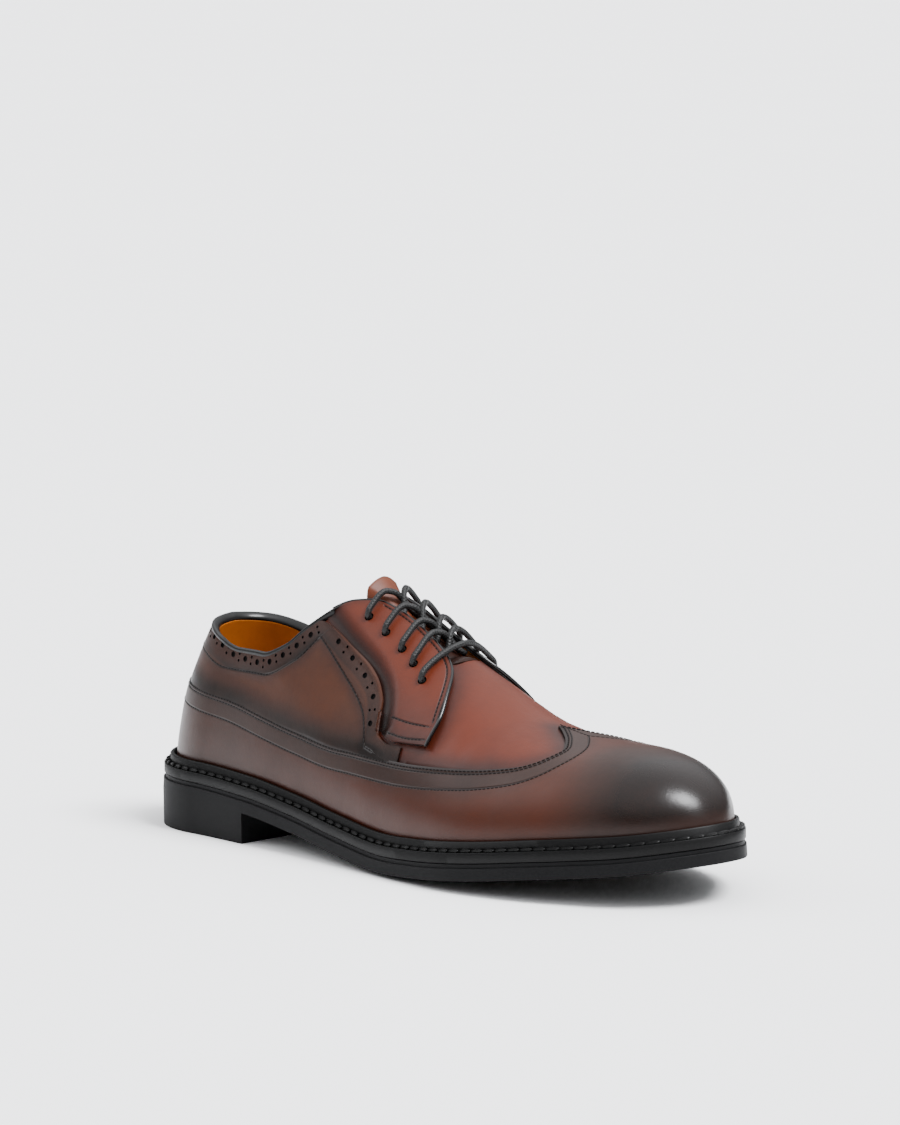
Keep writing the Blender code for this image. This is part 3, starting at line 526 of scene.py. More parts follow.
def wing_line(side, offset, count=900):
    """The wing's edge from the heel to its peak, moved down by an offset."""
    edge = {key: WING_EDGE[key][:WING_STOPS] for key in ("run", "climb")}
    run, climb = along_table(edge, count)
    return walk(side, run, climb, offset)


# Shading data
def burnish(side, run, climb, lines):
    """How dark the leather is: the burnished toe, and darker along the seams."""
    place = last(side, run, climb)
    x = place[..., 0]
    above = place[..., 2] - sole_top(x)
    toe = step_up(x, 236 * MM, 276 * MM) * (1 - 0.50 * np.exp(-(above / (8 * MM))**2))
    seams = np.zeros_like(x)
    for line, reach, strength in lines:
        seams = np.maximum(seams, strength * np.exp(-(nearest(place, line) / reach)**2))
    return np.clip(toe + seams * (1 - toe), 0, 1)


# Building
def grid(name, points):
    """The grid primitive with its vertices laid on an array of places."""
    rows, across = points.shape[:2]
    bpy.ops.object.select_all(action="DESELECT")
    bpy.ops.mesh.primitive_grid_add(x_subdivisions=across - 1, y_subdivisions=rows - 1)
    piece = bpy.context.object
    piece.name = name
    piece.data.name = name
    piece.data.vertices.foreach_set("co", (points - ORIGIN).astype(np.float32).ravel())
    piece.data.update()
    return piece


def keep(piece, **values):
    """Store numbers on the vertices of a piece for its material."""
    for name, value in values.items():
        layer = piece.data.attributes.new(name, "FLOAT", "POINT")
        layer.data.foreach_set("value", np.asarray(value, np.float32).ravel())


def activate(piece):
    """Select one piece alone and make it active."""
    bpy.ops.object.select_all(action="DESELECT")
    piece.select_set(True)
    bpy.context.view_layer.objects.active = piece


def weld(piece, distance=0.002 * MM):
    """Merge the vertices that share a place."""
    activate(piece)
    bpy.ops.object.mode_set(mode="EDIT")
    bpy.ops.mesh.select_all(action="SELECT")
    bpy.ops.mesh.remove_doubles(threshold=distance)
    bpy.ops.object.mode_set(mode="OBJECT")


def join(name, parts):
    """Several parts as one piece."""
    bpy.ops.object.select_all(action="DESELECT")
    for part in parts:
        part.select_set(True)
    bpy.context.view_layer.objects.active = parts[0]
    if len(parts) > 1:
        bpy.ops.object.join()
    parts[0].name = name
    parts[0].data.name = name
    return parts[0]


def modify(piece, kind, **settings):
    """Add a modifier, set it and apply it."""
    activate(piece)
    bpy.ops.object.modifier_add(type=kind)
    modifier = piece.modifiers[-1]
    for key, value in settings.items():
        setattr(modifier, key, value)
    bpy.ops.object.modifier_apply(modifier=modifier.name)


def outward(piece):
    """Turn all faces outwards."""
    activate(piece)
    bpy.ops.object.mode_set(mode="EDIT")
    bpy.ops.mesh.select_all(action="SELECT")
    bpy.ops.mesh.normals_make_consistent(inside=False)
    bpy.ops.object.mode_set(mode="OBJECT")


def thicken(piece, thickness, rim=0, inner=0, bevel=0.35 * MM):
    """Give a sheet its thickness inwards and round its edges."""
    modify(piece, "SOLIDIFY", thickness=thickness, offset=-1.0, use_rim=True,
           material_offset=inner, material_offset_rim=rim)
    modify(piece, "BEVEL", width=bevel, segments=2, limit_method="ANGLE",
           angle_limit=math.radians(50), affect="EDGES")


def paint(piece, *names):
    """Give a piece its materials, before the modifiers that share them out."""
    piece.data.materials.clear()
    for name in names:
        piece.data.materials.append(material(name))


def finish(piece, replaces=(), angle=35):
    """Smooth shading and the tie to the CAD model."""
    activate(piece)
    bpy.ops.object.shade_smooth_by_angle(angle=math.radians(angle))
    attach(piece, "root")
    if replaces:
        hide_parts(*replaces)
    return piece


def vertex_values(piece):
    """Places and stored numbers of a piece's vertices."""
    mesh = piece.data
    places = np.zeros(len(mesh.vertices) * 3)
    mesh.vertices.foreach_get("co", places)
    values = {}
    for layer in mesh.attributes:
        if layer.domain == "POINT" and layer.data_type == "FLOAT":
            numbers = np.zeros(len(mesh.vertices), np.float32)
            layer.data.foreach_get("value", numbers)
            values[layer.name] = numbers
    return places.reshape(-1, 3), values


def fill_values(piece, places, values):
    """Give the vertices round new holes the numbers of their old neighbours."""
    tree = KDTree(len(places))
    for i, place in enumerate(places):
        tree.insert(place, i)
    tree.balance()
    count = len(piece.data.vertices)
    near = np.zeros((count, 3), int)
    share = np.zeros((count, 3))
    for i, vert in enumerate(piece.data.vertices):
        for k, (place, index, distance) in enumerate(tree.find_n(vert.co, 3)):
            near[i, k] = index
            share[i, k] = 1 / (distance + 1e-6) ** 2
    share /= share.sum(1, keepdims=True)
    for name, numbers in values.items():
        layer = piece.data.attributes.get(name) or piece.data.attributes.new(name, "FLOAT",
                                                                             "POINT")
        layer.data.foreach_set("value", (numbers[near] * share).sum(1).astype(np.float32))


def punch(targets, holes, sides=14):
    """Cut round holes: each hole is a place, a normal, a diameter and a depth each way."""
    points = []
    faces = []
    for place, normal, width, depth in holes:
        across = unit(np.cross(normal, (1.0, 0.3, 0.1)))
        other = np.cross(normal, across)
        start = len(points)
        for end in (-depth, depth):
            for k in range(sides):
                angle = 2 * math.pi * k / sides
                spoke = across * math.cos(angle) + other * math.sin(angle)
                points.append(place + normal * end + spoke * width / 2 - ORIGIN)
        ring = range(sides)
        faces += [(start + k, start + (k + 1) % sides, start + sides + (k + 1) % sides,
                   start + sides + k) for k in ring]
        faces.append(tuple(start + k for k in reversed(ring)))
        faces.append(tuple(start + sides + k for k in ring))
    mesh = bpy.data.meshes.new("punch")
    mesh.from_pydata([tuple(p) for p in points], [], faces)
    tool = bpy.data.objects.new("punch", mesh)
    bpy.context.scene.collection.objects.link(tool)
    outward(tool)
    # The hole walls get a near-black material as painted shade
    paint(tool, "hole_shade")
    for target in targets:
        places, values = vertex_values(target)
        modify(target, "BOOLEAN", operation="DIFFERENCE", solver="MANIFOLD", object=tool,
               material_mode="TRANSFER")
        fill_values(target, places, values)
    bpy.data.objects.remove(tool, do_unlink=True)


def sweep(name, route, width, height, sides, normals=None):
    """A round or oval cord along a route, closed at its ends."""
    route = np.asarray(route)
    ahead = unit(np.gradient(route, axis=0))
    if normals is None:
        across = np.cross(ahead[0], (1.0, 0.0, 0.0))
        sideways = []
        for direction in ahead:
            across = unit(across - direction * np.dot(across, direction))
            sideways.append(across)
        sideways = np.array(sideways)
    else:
        sideways = unit(np.cross(ahead, normals))
    up = np.cross(sideways, ahead)
    angle = np.linspace(0, 2 * math.pi, sides + 1)
    ring = (sideways[:, None] * (np.cos(angle) * width / 2)[None, :, None]
            + up[:, None] * (np.sin(angle) * height / 2)[None, :, None])
    first = np.repeat(route[:1, None], sides + 1, axis=1)
    final = np.repeat(route[-1:, None], sides + 1, axis=1)
    piece = grid(name, np.concatenate([first, route[:, None] + ring, final]))
    along = np.concatenate([[0.0], np.cumsum(np.linalg.norm(np.diff(route, axis=0), axis=1))])
    along = np.concatenate([along[:1], along, along[-1:]])
    keep(piece, along=np.repeat(along[:, None], sides + 1, 1),
         around_x=np.repeat(np.cos(angle)[None], len(along), 0),
         around_y=np.repeat(np.sin(angle)[None], len(along), 0))
    weld(piece)
    outward(piece)
    return piece


def scatter(name, places, ahead, normals, length, width, height):
    """Copies of one rounded capsule, laid along a row as stitches, in one mesh."""
    bpy.ops.object.select_all(action="DESELECT")
    bpy.ops.mesh.primitive_uv_sphere_add(segments=8, ring_count=6, radius=0.5,
                                         rotation=(0.0, math.pi / 2, 0.0))
    piece = bpy.context.object
    bpy.ops.object.transform_apply(location=True, rotation=True, scale=True)
    piece.name = name
    piece.data.name = name
    shape = np.array([vert.co for vert in piece.data.vertices])
    shape[:, 0] = np.sign(shape[:, 0]) * np.abs(2 * shape[:, 0]) ** 0.7 / 2
    faces = [tuple(face.vertices) for face in piece.data.polygons]
    ahead = unit(ahead)
    normals = unit(normals - ahead * (normals * ahead).sum(-1, keepdims=True))
    aside = np.cross(normals, ahead)
    points = (places[:, None] + ahead[:, None] * shape[None, :, :1] * length
              + aside[:, None] * shape[None, :, 1:2] * width
              + normals[:, None] * shape[None, :, 2:] * height) - ORIGIN
    count = len(shape)
    copies = [tuple(i + k * count for i in face) for k in range(len(places)) for face in faces]
    mesh = bpy.data.meshes.new(name)
    mesh.from_pydata(points.reshape(-1, 3).tolist(), [], copies)
    old = piece.data
    piece.data = mesh
    bpy.data.meshes.remove(old)
    mesh.name = name
    return piece


# Materials
def linear(code):
    """Linear colour of an sRGB hex code."""
    parts = [int(code[i:i + 2], 16) / 255 for i in (1, 3, 5)]
    parts = [c / 12.92 if c <= 0.04045 else ((c + 0.055) / 1.055) ** 2.4 for c in parts]
    return (*parts, 1.0)


def add(tree, kind, inputs=None, **settings):
    """A shader node with settings, and values or links for its inputs."""
    node = tree.nodes.new(kind)
    for key, value in settings.items():
        setattr(node, key, value)
    for key, value in (inputs or {}).items():
        if isinstance(value, bpy.types.NodeSocket):
            tree.links.new(value, node.inputs[key])
        else:
            node.inputs[key].default_value = value
    return node


def new_material(name):
    """A new material, its node tree and its shader."""
    material = bpy.data.materials.new(name)
    material.use_nodes = True
    tree = material.node_tree
    return material, tree, tree.nodes["Principled BSDF"]


def mix(tree, share, first, second):
    """The colour between two, by a share."""
    node = add(tree, "ShaderNodeMix", {0: share, 6: first, 7: second}, data_type="RGBA")
    return node.outputs[2]


def leather(name, pale, middle, deep, gloss, coat=0.05, rows=()):
    """Burnished calf, aniline-dyed: three tones mixed by burnishing and by painted shade and
    highlight, fine grain, a waxed and brushed surface.

    rows are the stitched lines: an attribute with the distance to a line, and an offset from it.
    """
    material, tree, shader = new_material(name)
    place = add(tree, "ShaderNodeTexCoord").outputs["Object"]
    # This attribute holds the burnishing and the painted shade and highlight of each panel
    dye_and_shade = add(tree, "ShaderNodeAttribute", attribute_name="burnish").outputs["Fac"]
    # Clouds of 30 mm and 6 mm give the eye a hand-rubbed dye
    clouds = add(tree, "ShaderNodeTexNoise", {"Vector": place, "Scale": 1 / (30 * MM),
                                              "Detail": 5.0, "Roughness": 0.62})
    fine = add(tree, "ShaderNodeTexNoise", {"Vector": place, "Scale": 1 / (2.2 * MM),
                                            "Detail": 3.0, "Roughness": 0.7})
    rub = add(tree, "ShaderNodeMath", {0: clouds.outputs["Fac"], 1: 0.50, 2: -0.25},
              operation="MULTIPLY_ADD").outputs[0]
    speck = add(tree, "ShaderNodeMath", {0: fine.outputs["Fac"], 1: 0.10, 2: -0.05},
                operation="MULTIPLY_ADD").outputs[0]
    both = add(tree, "ShaderNodeMath", {0: rub, 1: speck}, operation="ADD").outputs[0]
    tone = add(tree, "ShaderNodeMath", {0: dye_and_shade, 1: both}, operation="ADD").outputs[0]
    low = add(tree, "ShaderNodeMapRange", {"Value": tone, "From Min": 0.0, "From Max": 0.5})
    high = add(tree, "ShaderNodeMapRange", {"Value": tone, "From Min": 0.5, "From Max": 1.0})
    colour = mix(tree, low.outputs[0], linear(pale), linear(middle))
    colour = mix(tree, high.outputs[0], colour, linear(deep))
    # The line attribute paints near black on dyed edges, and shade along the quarter's ridge and
    # beside it on the facing
    line = add(tree, "ShaderNodeAttribute", attribute_name="line").outputs["Fac"]
    colour = mix(tree, line, colour, linear(SEAM_DYE_AND_SHADE))
    # Each stitched line is pressed in, 0.5 mm wide, and its groove is painted dark as shade
    pressed = add(tree, "ShaderNodeValue").outputs[0]
    for attribute, offset in rows:
        gap = add(tree, "ShaderNodeAttribute", attribute_name=attribute).outputs["Fac"]
        gap = add(tree, "ShaderNodeMath", {0: gap, 1: offset}, operation="SUBTRACT").outputs[0]
        gap = add(tree, "ShaderNodeMath", {0: gap}, operation="ABSOLUTE").outputs[0]
        near = add(tree, "ShaderNodeMapRange", {"Value": gap, "From Min": 0.15 * MM,
                                                "From Max": 0.75 * MM, "To Min": 1.0,
                                                "To Max": 0.0}, interpolation_type="SMOOTHSTEP")
        pressed = add(tree, "ShaderNodeMath", {0: near.outputs[0], 1: pressed},
                      operation="MAXIMUM").outputs[0]
    groove_shade = add(tree, "ShaderNodeMath", {0: pressed, 1: 0.7}, operation="MULTIPLY").outputs[0]
    colour = mix(tree, groove_shade, colour, linear(SEAM_DYE_AND_SHADE))
    tree.links.new(colour, shader.inputs["Base Color"])
    # Pores and creases of 0.5 mm, with a coarser roll of 3 mm, break the highlight
    pores = add(tree, "ShaderNodeTexNoise", {"Vector": place, "Scale": 1 / (0.55 * MM),
                                             "Detail": 3.0, "Roughness": 0.6})
    rolls = add(tree, "ShaderNodeTexNoise", {"Vector": place, "Scale": 1 / (3.4 * MM),
                                             "Detail": 2.0})
    height = add(tree, "ShaderNodeMath", {0: rolls.outputs["Fac"], 1: 1.6,
                                          2: pores.outputs["Fac"]}, operation="MULTIPLY_ADD")
    bump = add(tree, "ShaderNodeBump", {"Height": height.outputs[0], "Distance": 0.06 * MM,
                                        "Strength": 0.55})
    sunk = add(tree, "ShaderNodeMath", {0: pressed, 1: -1.0}, operation="MULTIPLY").outputs[0]
    bump = add(tree, "ShaderNodeBump", {"Height": sunk, "Distance": 0.25 * MM, "Strength": 0.8,
                                        "Normal": bump.outputs[0]})
    tree.links.new(bump.outputs[0], shader.inputs["Normal"])
    rough = add(tree, "ShaderNodeMapRange", {"Value": clouds.outputs["Fac"], "From Min": 0.3,
                                             "From Max": 0.7, "To Min": gloss - 0.04,
                                             "To Max": gloss + 0.06})
    # The dark burnish is brushed to a higher shine
    shine = add(tree, "ShaderNodeMapRange", {"Value": dye_and_shade, "From Min": 0.75, "From Max": 1.0,
                                             "To Min": 0.0, "To Max": 0.15})
    rough = add(tree, "ShaderNodeMath", {0: rough.outputs[0], 1: shine.outputs[0]},
                operation="SUBTRACT")
    tree.links.new(rough.outputs[0], shader.inputs["Roughness"])
    shader.inputs["Coat Weight"].default_value = coat
    shader.inputs["Coat Roughness"].default_value = 0.28
    shader.inputs["Specular IOR Level"].default_value = 0.20
    return material


def plain(name, colour, second, roughness, size, depth, coat=0.0):
    """A dyed, moulded or painted material: two close tones and a soft grain of one size."""
    material, tree, shader = new_material(name)
    place = add(tree, "ShaderNodeTexCoord").outputs["Object"]
    noise = add(tree, "ShaderNodeTexNoise", {"Vector": place, "Scale": 1 / size, "Detail": 4.0})
    share = add(tree, "ShaderNodeMapRange", {"Value": noise.outputs["Fac"], "From Min": 0.35,
                                             "From Max": 0.65})
    tree.links.new(mix(tree, share.outputs[0], linear(colour), linear(second)),
                   shader.inputs["Base Color"])
    bump = add(tree, "ShaderNodeBump", {"Height": noise.outputs["Fac"], "Distance": depth,
                                        "Strength": 0.6})
    tree.links.new(bump.outputs[0], shader.inputs["Normal"])
    shader.inputs["Roughness"].default_value = roughness
    shader.inputs["Coat Weight"].default_value = coat
    shader.inputs["Specular IOR Level"].default_value = 0.13
    return material


def lace_cotton(name):
    """Round waxed cotton lace: a braid whose strands cross at 1.3 mm."""
    material, tree, shader = new_material(name)
    along = add(tree, "ShaderNodeAttribute", attribute_name="along").outputs["Fac"]
    x = add(tree, "ShaderNodeAttribute", attribute_name="around_x").outputs["Fac"]
    y = add(tree, "ShaderNodeAttribute", attribute_name="around_y").outputs["Fac"]
    turn = add(tree, "ShaderNodeMath", {0: y, 1: x}, operation="ARCTAN2").outputs[0]
    turns = add(tree, "ShaderNodeMath", {0: turn, 1: 4.0}, operation="MULTIPLY").outputs[0]
    heights = []
    for way in (1.0, -1.0):
        phase = add(tree, "ShaderNodeMath", {0: along, 1: way * 2 * math.pi / (1.3 * MM), 2: turns},
                    operation="MULTIPLY_ADD").outputs[0]
        heights.append(add(tree, "ShaderNodeMath", {0: phase}, operation="SINE").outputs[0])
    braid = add(tree, "ShaderNodeMath", {0: heights[0], 1: heights[1]},
                operation="MAXIMUM").outputs[0]
    bump = add(tree, "ShaderNodeBump", {"Height": braid, "Distance": 0.10 * MM, "Strength": 0.7})
    tree.links.new(bump.outputs[0], shader.inputs["Normal"])
    # The hollows of the braid are painted darker, as shade
    share = add(tree, "ShaderNodeMapRange", {"Value": braid, "From Min": -1.0, "From Max": 1.0})
    tree.links.new(mix(tree, share.outputs[0], linear("#020202"), linear("#0a0a0a")),
                   shader.inputs["Base Color"])
    shader.inputs["Roughness"].default_value = 0.52
    shader.inputs["Specular IOR Level"].default_value = 0.3
    return material


MATERIALS = {}


def material(name):
    """Each material is made once, when a piece first asks for it."""
    makers = {
        "vamp_calf": lambda: leather("vamp_calf_burnished", TAN, RUSSET, TOE_BROWN, 0.42),
        "facing_calf": lambda: leather("facing_calf_burnished", TAN, RUSSET, TOE_BROWN, 0.42,
                                       rows=(("row_a", 0.0), ("row_b", 0.0), ("row_c", 0.0))),
        "wing_calf": lambda: leather("wing_calf_burnished", "#391608", "#26130c", TOE_BROWN, 0.40,
                                     rows=(("gap", 1.2 * MM), ("gap", 2.5 * MM),
                                           ("gap", 9.2 * MM))),
        "quarter_calf": lambda: leather("quarter_calf_greyed_painted_light", "#4c2714", GREY_BROWN, TOE_BROWN,
                                        0.44, rows=(("row_a", 0.0), ("row_b", 0.0))),
        "tongue_calf": lambda: leather("tongue_calf", "#552611", "#37190e", TOE_BROWN, 0.46),
        "lining_calf": lambda: leather("lining_calf_amber", AMBER, AMBER_DARK, AMBER_DARK, 0.45,
                                       coat=0.1),
        # Painted shade for the walls of punched holes, so that they read dark
        "hole_shade": lambda: plain("hole_wall_painted_shade", "#050303", "#030202", 0.8, 2 * MM,
                                 0.05 * MM),
        "edge_brown": lambda: plain("cut_edge_brown", "#1a0d09", "#120907", 0.5, 3 * MM,
                                    0.03 * MM),
        "edge_dye": lambda: plain("edge_dye_black", "#040404", "#070606", 0.28, 3 * MM,
                                  0.03 * MM, 0.6),
        "bound_edge": lambda: plain("bound_edge_black", BLACK, "#090808", 0.42, 1.2 * MM,
                                    0.05 * MM, 0.2),
        "thread_dark": lambda: plain("waxed_thread_dark", THREAD, "#070404", 0.5, 0.5 * MM,
                                     0.04 * MM),
        "thread_black": lambda: plain("welt_thread_black", "#050505", "#0b0b0b", 0.38,
                                      0.6 * MM, 0.12 * MM),
        "rubber": lambda: plain("moulded_rubber_black", RUBBER, "#070708", 0.62, 1.0 * MM,
                                0.035 * MM),
        "welt_rubber": lambda: plain("welt_rubber_black", "#030303", "#060606", 0.5, 0.9 * MM,
                                     0.04 * MM),
        "lace": lambda: lace_cotton("waxed_cotton_lace_black"),
        "floor": lambda: plain("painted_backdrop_pale", BACKDROP, "#f0f0f0", 0.85, 900 * MM,
                               0.0),
    }
    if name not in MATERIALS:
        MATERIALS[name] = makers[name]()
    return MATERIALS[name]


# Leather panels
COLUMNS = columns(36, 130, 64)


def two_sided(rib, t, bend=1):
    """Side, run and climb of one grid from the lateral heel round the toe to the medial heel."""
    run, climb = between(rib, t, bend)
    side = np.full_like(run, LATERAL)
    back = slice(-2, None, -1)
    run = np.concatenate([run, run[:, back]], 1)
    climb = np.concatenate([climb, climb[:, back]], 1)
    side = np.concatenate([side, -side[:, back]], 1)
    return side, run, climb


def graded(rows, power=1.0):
    """Even steps from 0 to 1, or closer together towards 1."""
    return 1 - (1 - np.linspace(0, 1, rows + 1)) ** power


def vamp_creases(side, run, climb):
    """Soft troughs of the vamp where the foot bends, and the pull under the facings."""
    place = last(side, run, climb)
    x = place[..., 0] / MM
    troughs = ((196.0, 4.5, 0.34, 0.05), (205.0, 5.0, 0.30, -0.04), (187.0, 4.0, 0.22, 0.08))
    depth = np.zeros_like(x)
    for centre, width, amount, slant in troughs:
        middle = centre + slant * (climb - 60)
        fade = step_up(climb, 36, 48) * (1 - step_up(climb, 72, 86))
        depth += amount * MM * fade * np.exp(-((x - middle) / width) ** 2)
    hollow = 0.5 * MM * np.exp(-((x - 184) / 12) ** 2 - ((climb - 44) / 7) ** 2)
    return depth + hollow


def seam_lines(side):
    """Dense lines of the seams of one side, where the leather is made darker."""
    wing = last(side, *wing_line(side, 0.0, 500), 1.9 * MM)
    front = {"run": FACING["run"][3:] + FACING["foot_run"][:-4:-1],
             "climb": FACING["climb"][3:] + FACING["foot_climb"][:-4:-1]}
    return wing, last(side, *along_table(front, 200), 1.5 * MM)


def make_upper(sizes):
    """The hollow vamp and its lining, with the soft creases of the vamp."""
    t = graded(30)
    side, run, climb = two_sided(ribs(*wing_edges(), COLUMNS), t, WING_BEND)
    sunk = -UPPER_SINK * (1 - step_up(t, 0.90, 1.0))[:, None]
    lower = grid("upper", last(side, run, climb, sunk))
    # Painted shade: the vamp under the wing is darkened, for it shows only through the punched
    # holes; its inner faces darken the lining low in the shoe too
    keep(lower, burnish=np.full(run.shape, 0.6), line=np.zeros_like(run))
    runs = COLUMNS[COLUMNS <= PEAK_FOOT + 1e-9]
    if runs[-1] < PEAK_FOOT:
        runs = np.append(runs, PEAK_FOOT)
    low = ribs(*wing_edges(), runs)
    top = ribs(*upper_edges(), runs)
    side, run, climb = two_sided((low[2], low[3], top[2], top[3]), graded(34))
    dark = np.zeros_like(run)
    for way in (LATERAL, MEDIAL):
        wing, facing = seam_lines(way)
        dyed = burnish(side, run, climb, ((wing, 7 * MM, 0.55), (facing, 6 * MM, 0.45)))
        dark = np.maximum(dark, np.where(side == way, dyed, 0))
    band = grid("upper_top", last(side, run, climb, -vamp_creases(side, run, climb)))
    keep(band, burnish=dark, line=np.zeros_like(run))
    piece = join("dressed_upper", [lower, band])
    weld(piece)
    paint(piece, "vamp_calf", "lining_calf")
    thicken(piece, WALL, inner=1, rim=1, bevel=0.3 * MM)
    punch([piece], eyelet_holes())
    finish(piece, ["upper"], 50)


def eyelet_holes():
    """The five eyelet holes of each side."""
    holes = []
    for side in (LATERAL, MEDIAL):
        run = np.array(EYELETS["run"])
        climb = np.array(EYELETS["climb"])
        place, by_run, by_climb, normal = surface(side, run, climb)
        holes += [(p, n, EYELET_HOLE * EYELET_SHARE, EYELET_DEPTH) for p, n in zip(place, normal)]
    return holes


def strip_holes(side, run, climb, grow, sizes, first=0.5, pitch=None, depth=PUNCH_DEPTH):
    """Large holes along a strip's middle line with a pair of small ones between each two."""
    total = line_length(side, run, climb, grow)
    spots = [first * 12 * MM]
    while spots[-1] < total:
        step = float(np.interp(spots[-1], PITCH["along"], PITCH["pitch"]))
        spots.append(spots[-1] + (pitch or step))
    spots = np.array(spots)
    holes = []
    big_run, big_climb = at_distances(side, run, climb, grow, spots)
    place, by_run, by_climb, normal = surface(side, big_run, big_climb, grow)
    holes += [(p, n, sizes.large_hole, depth) for p, n in zip(place, normal)]
    between_spots = (spots[1:] + spots[:-1]) / 2
    for shift in (-sizes.pair_gap / 2, sizes.pair_gap / 2):
        off_run, off_climb = walk(side, run, climb, shift, 3)
        small_run, small_climb = at_distances(side, run, climb, grow, between_spots,
                                              (off_run, off_climb))
        place, by_run, by_climb, normal = surface(side, small_run, small_climb, grow)
        holes += [(p, n, sizes.small_hole, depth) for p, n in zip(place, normal)]
    return holes


def medallion_holes(sizes):
    """The punched ornament on the toe: a diamond on the crest and a curl on each side."""
    rows = []
    for side in (LATERAL, MEDIAL):
        rows += [(side, run, climb, sizes.small_hole) for run, climb in CURL + DIAMOND]
        rows += [(side, run, climb, sizes.large_hole) for run, climb in CURL_LARGE]
    rows += [(LATERAL, run, climb, sizes.small_hole) for run, climb in DIAMOND_ENDS]
    rows += [(LATERAL, run, climb, sizes.large_hole) for run, climb in CREST_LARGE]
    holes = []
    for side, run, climb, width in rows:
        place, by_run, by_climb, normal = surface(side, np.array([run]), np.array([climb]),
                                                  FIT + WING_THICKNESS)
        holes.append((place[0], normal[0], width, PUNCH_DEPTH))
    return holes


def make_wing(sizes):
    """The long wing, dyed dark at the toe and along its strip, with a skived edge."""
    grow = FIT + WING_THICKNESS
    side, run, climb = two_sided(ribs(*wing_edges(), COLUMNS), graded(60, 1.25), WING_BEND)
    place = last(side, run, climb, grow)
    gap = np.full(run.shape, 1.0)
    for way in (LATERAL, MEDIAL):
        own = side == way
        gap[own] = signed_gap(place[own], way, *wing_line(way, 0.0), grow)
    x = place[..., 0]
    above = place[..., 2] - sole_top(x)
    cloud = 5 * MM * np.sin(place[..., 1] / (9 * MM)) + 0.35 * (above - 20 * MM)
    toe = step_up(x - cloud, 228 * MM, 288 * MM) * (1 - 0.50 * np.exp(-(above / (9 * MM))**2))
    toe = np.clip(1.15 * toe, 0, 1)
    strip = 0.62 * (1 - step_up(gap, 8.6 * MM, 9.8 * MM))
    below = 0.30 * np.exp(-((gap - 9 * MM) / (6 * MM))**2)
    heel = 0.26 * (1 - step_up(x, 30 * MM, 150 * MM)) + 0.20
    waist = 0.10 * np.exp(-((x - 200 * MM) / (40 * MM))**2)
    tone = np.clip(np.maximum(np.maximum(toe, strip), np.maximum(heel - waist, below)), 0, 1)
    line = 0.9 * np.exp(-(gap / (0.8 * MM))**2)
    skived = 0.7 * MM * np.exp(-(gap / (1.0 * MM))**2)
    piece = grid("dressed_wing", last(side, run, climb, grow - skived))
    paint(piece, "wing_calf", "edge_brown")
    keep(piece, burnish=tone, line=line, gap=gap)
    weld(piece)
    thicken(piece, WING_THICKNESS - 0.3 * MM, rim=1, bevel=0.3 * MM)
    holes = medallion_holes(sizes)
    for way in (LATERAL, MEDIAL):
        middle = wing_line(way, sizes.strip_middle)
        holes += strip_holes(way, middle[0][::-1], middle[1][::-1], grow, sizes)
    punch([piece], holes)
    finish(piece, ["wing_cap"], 50)


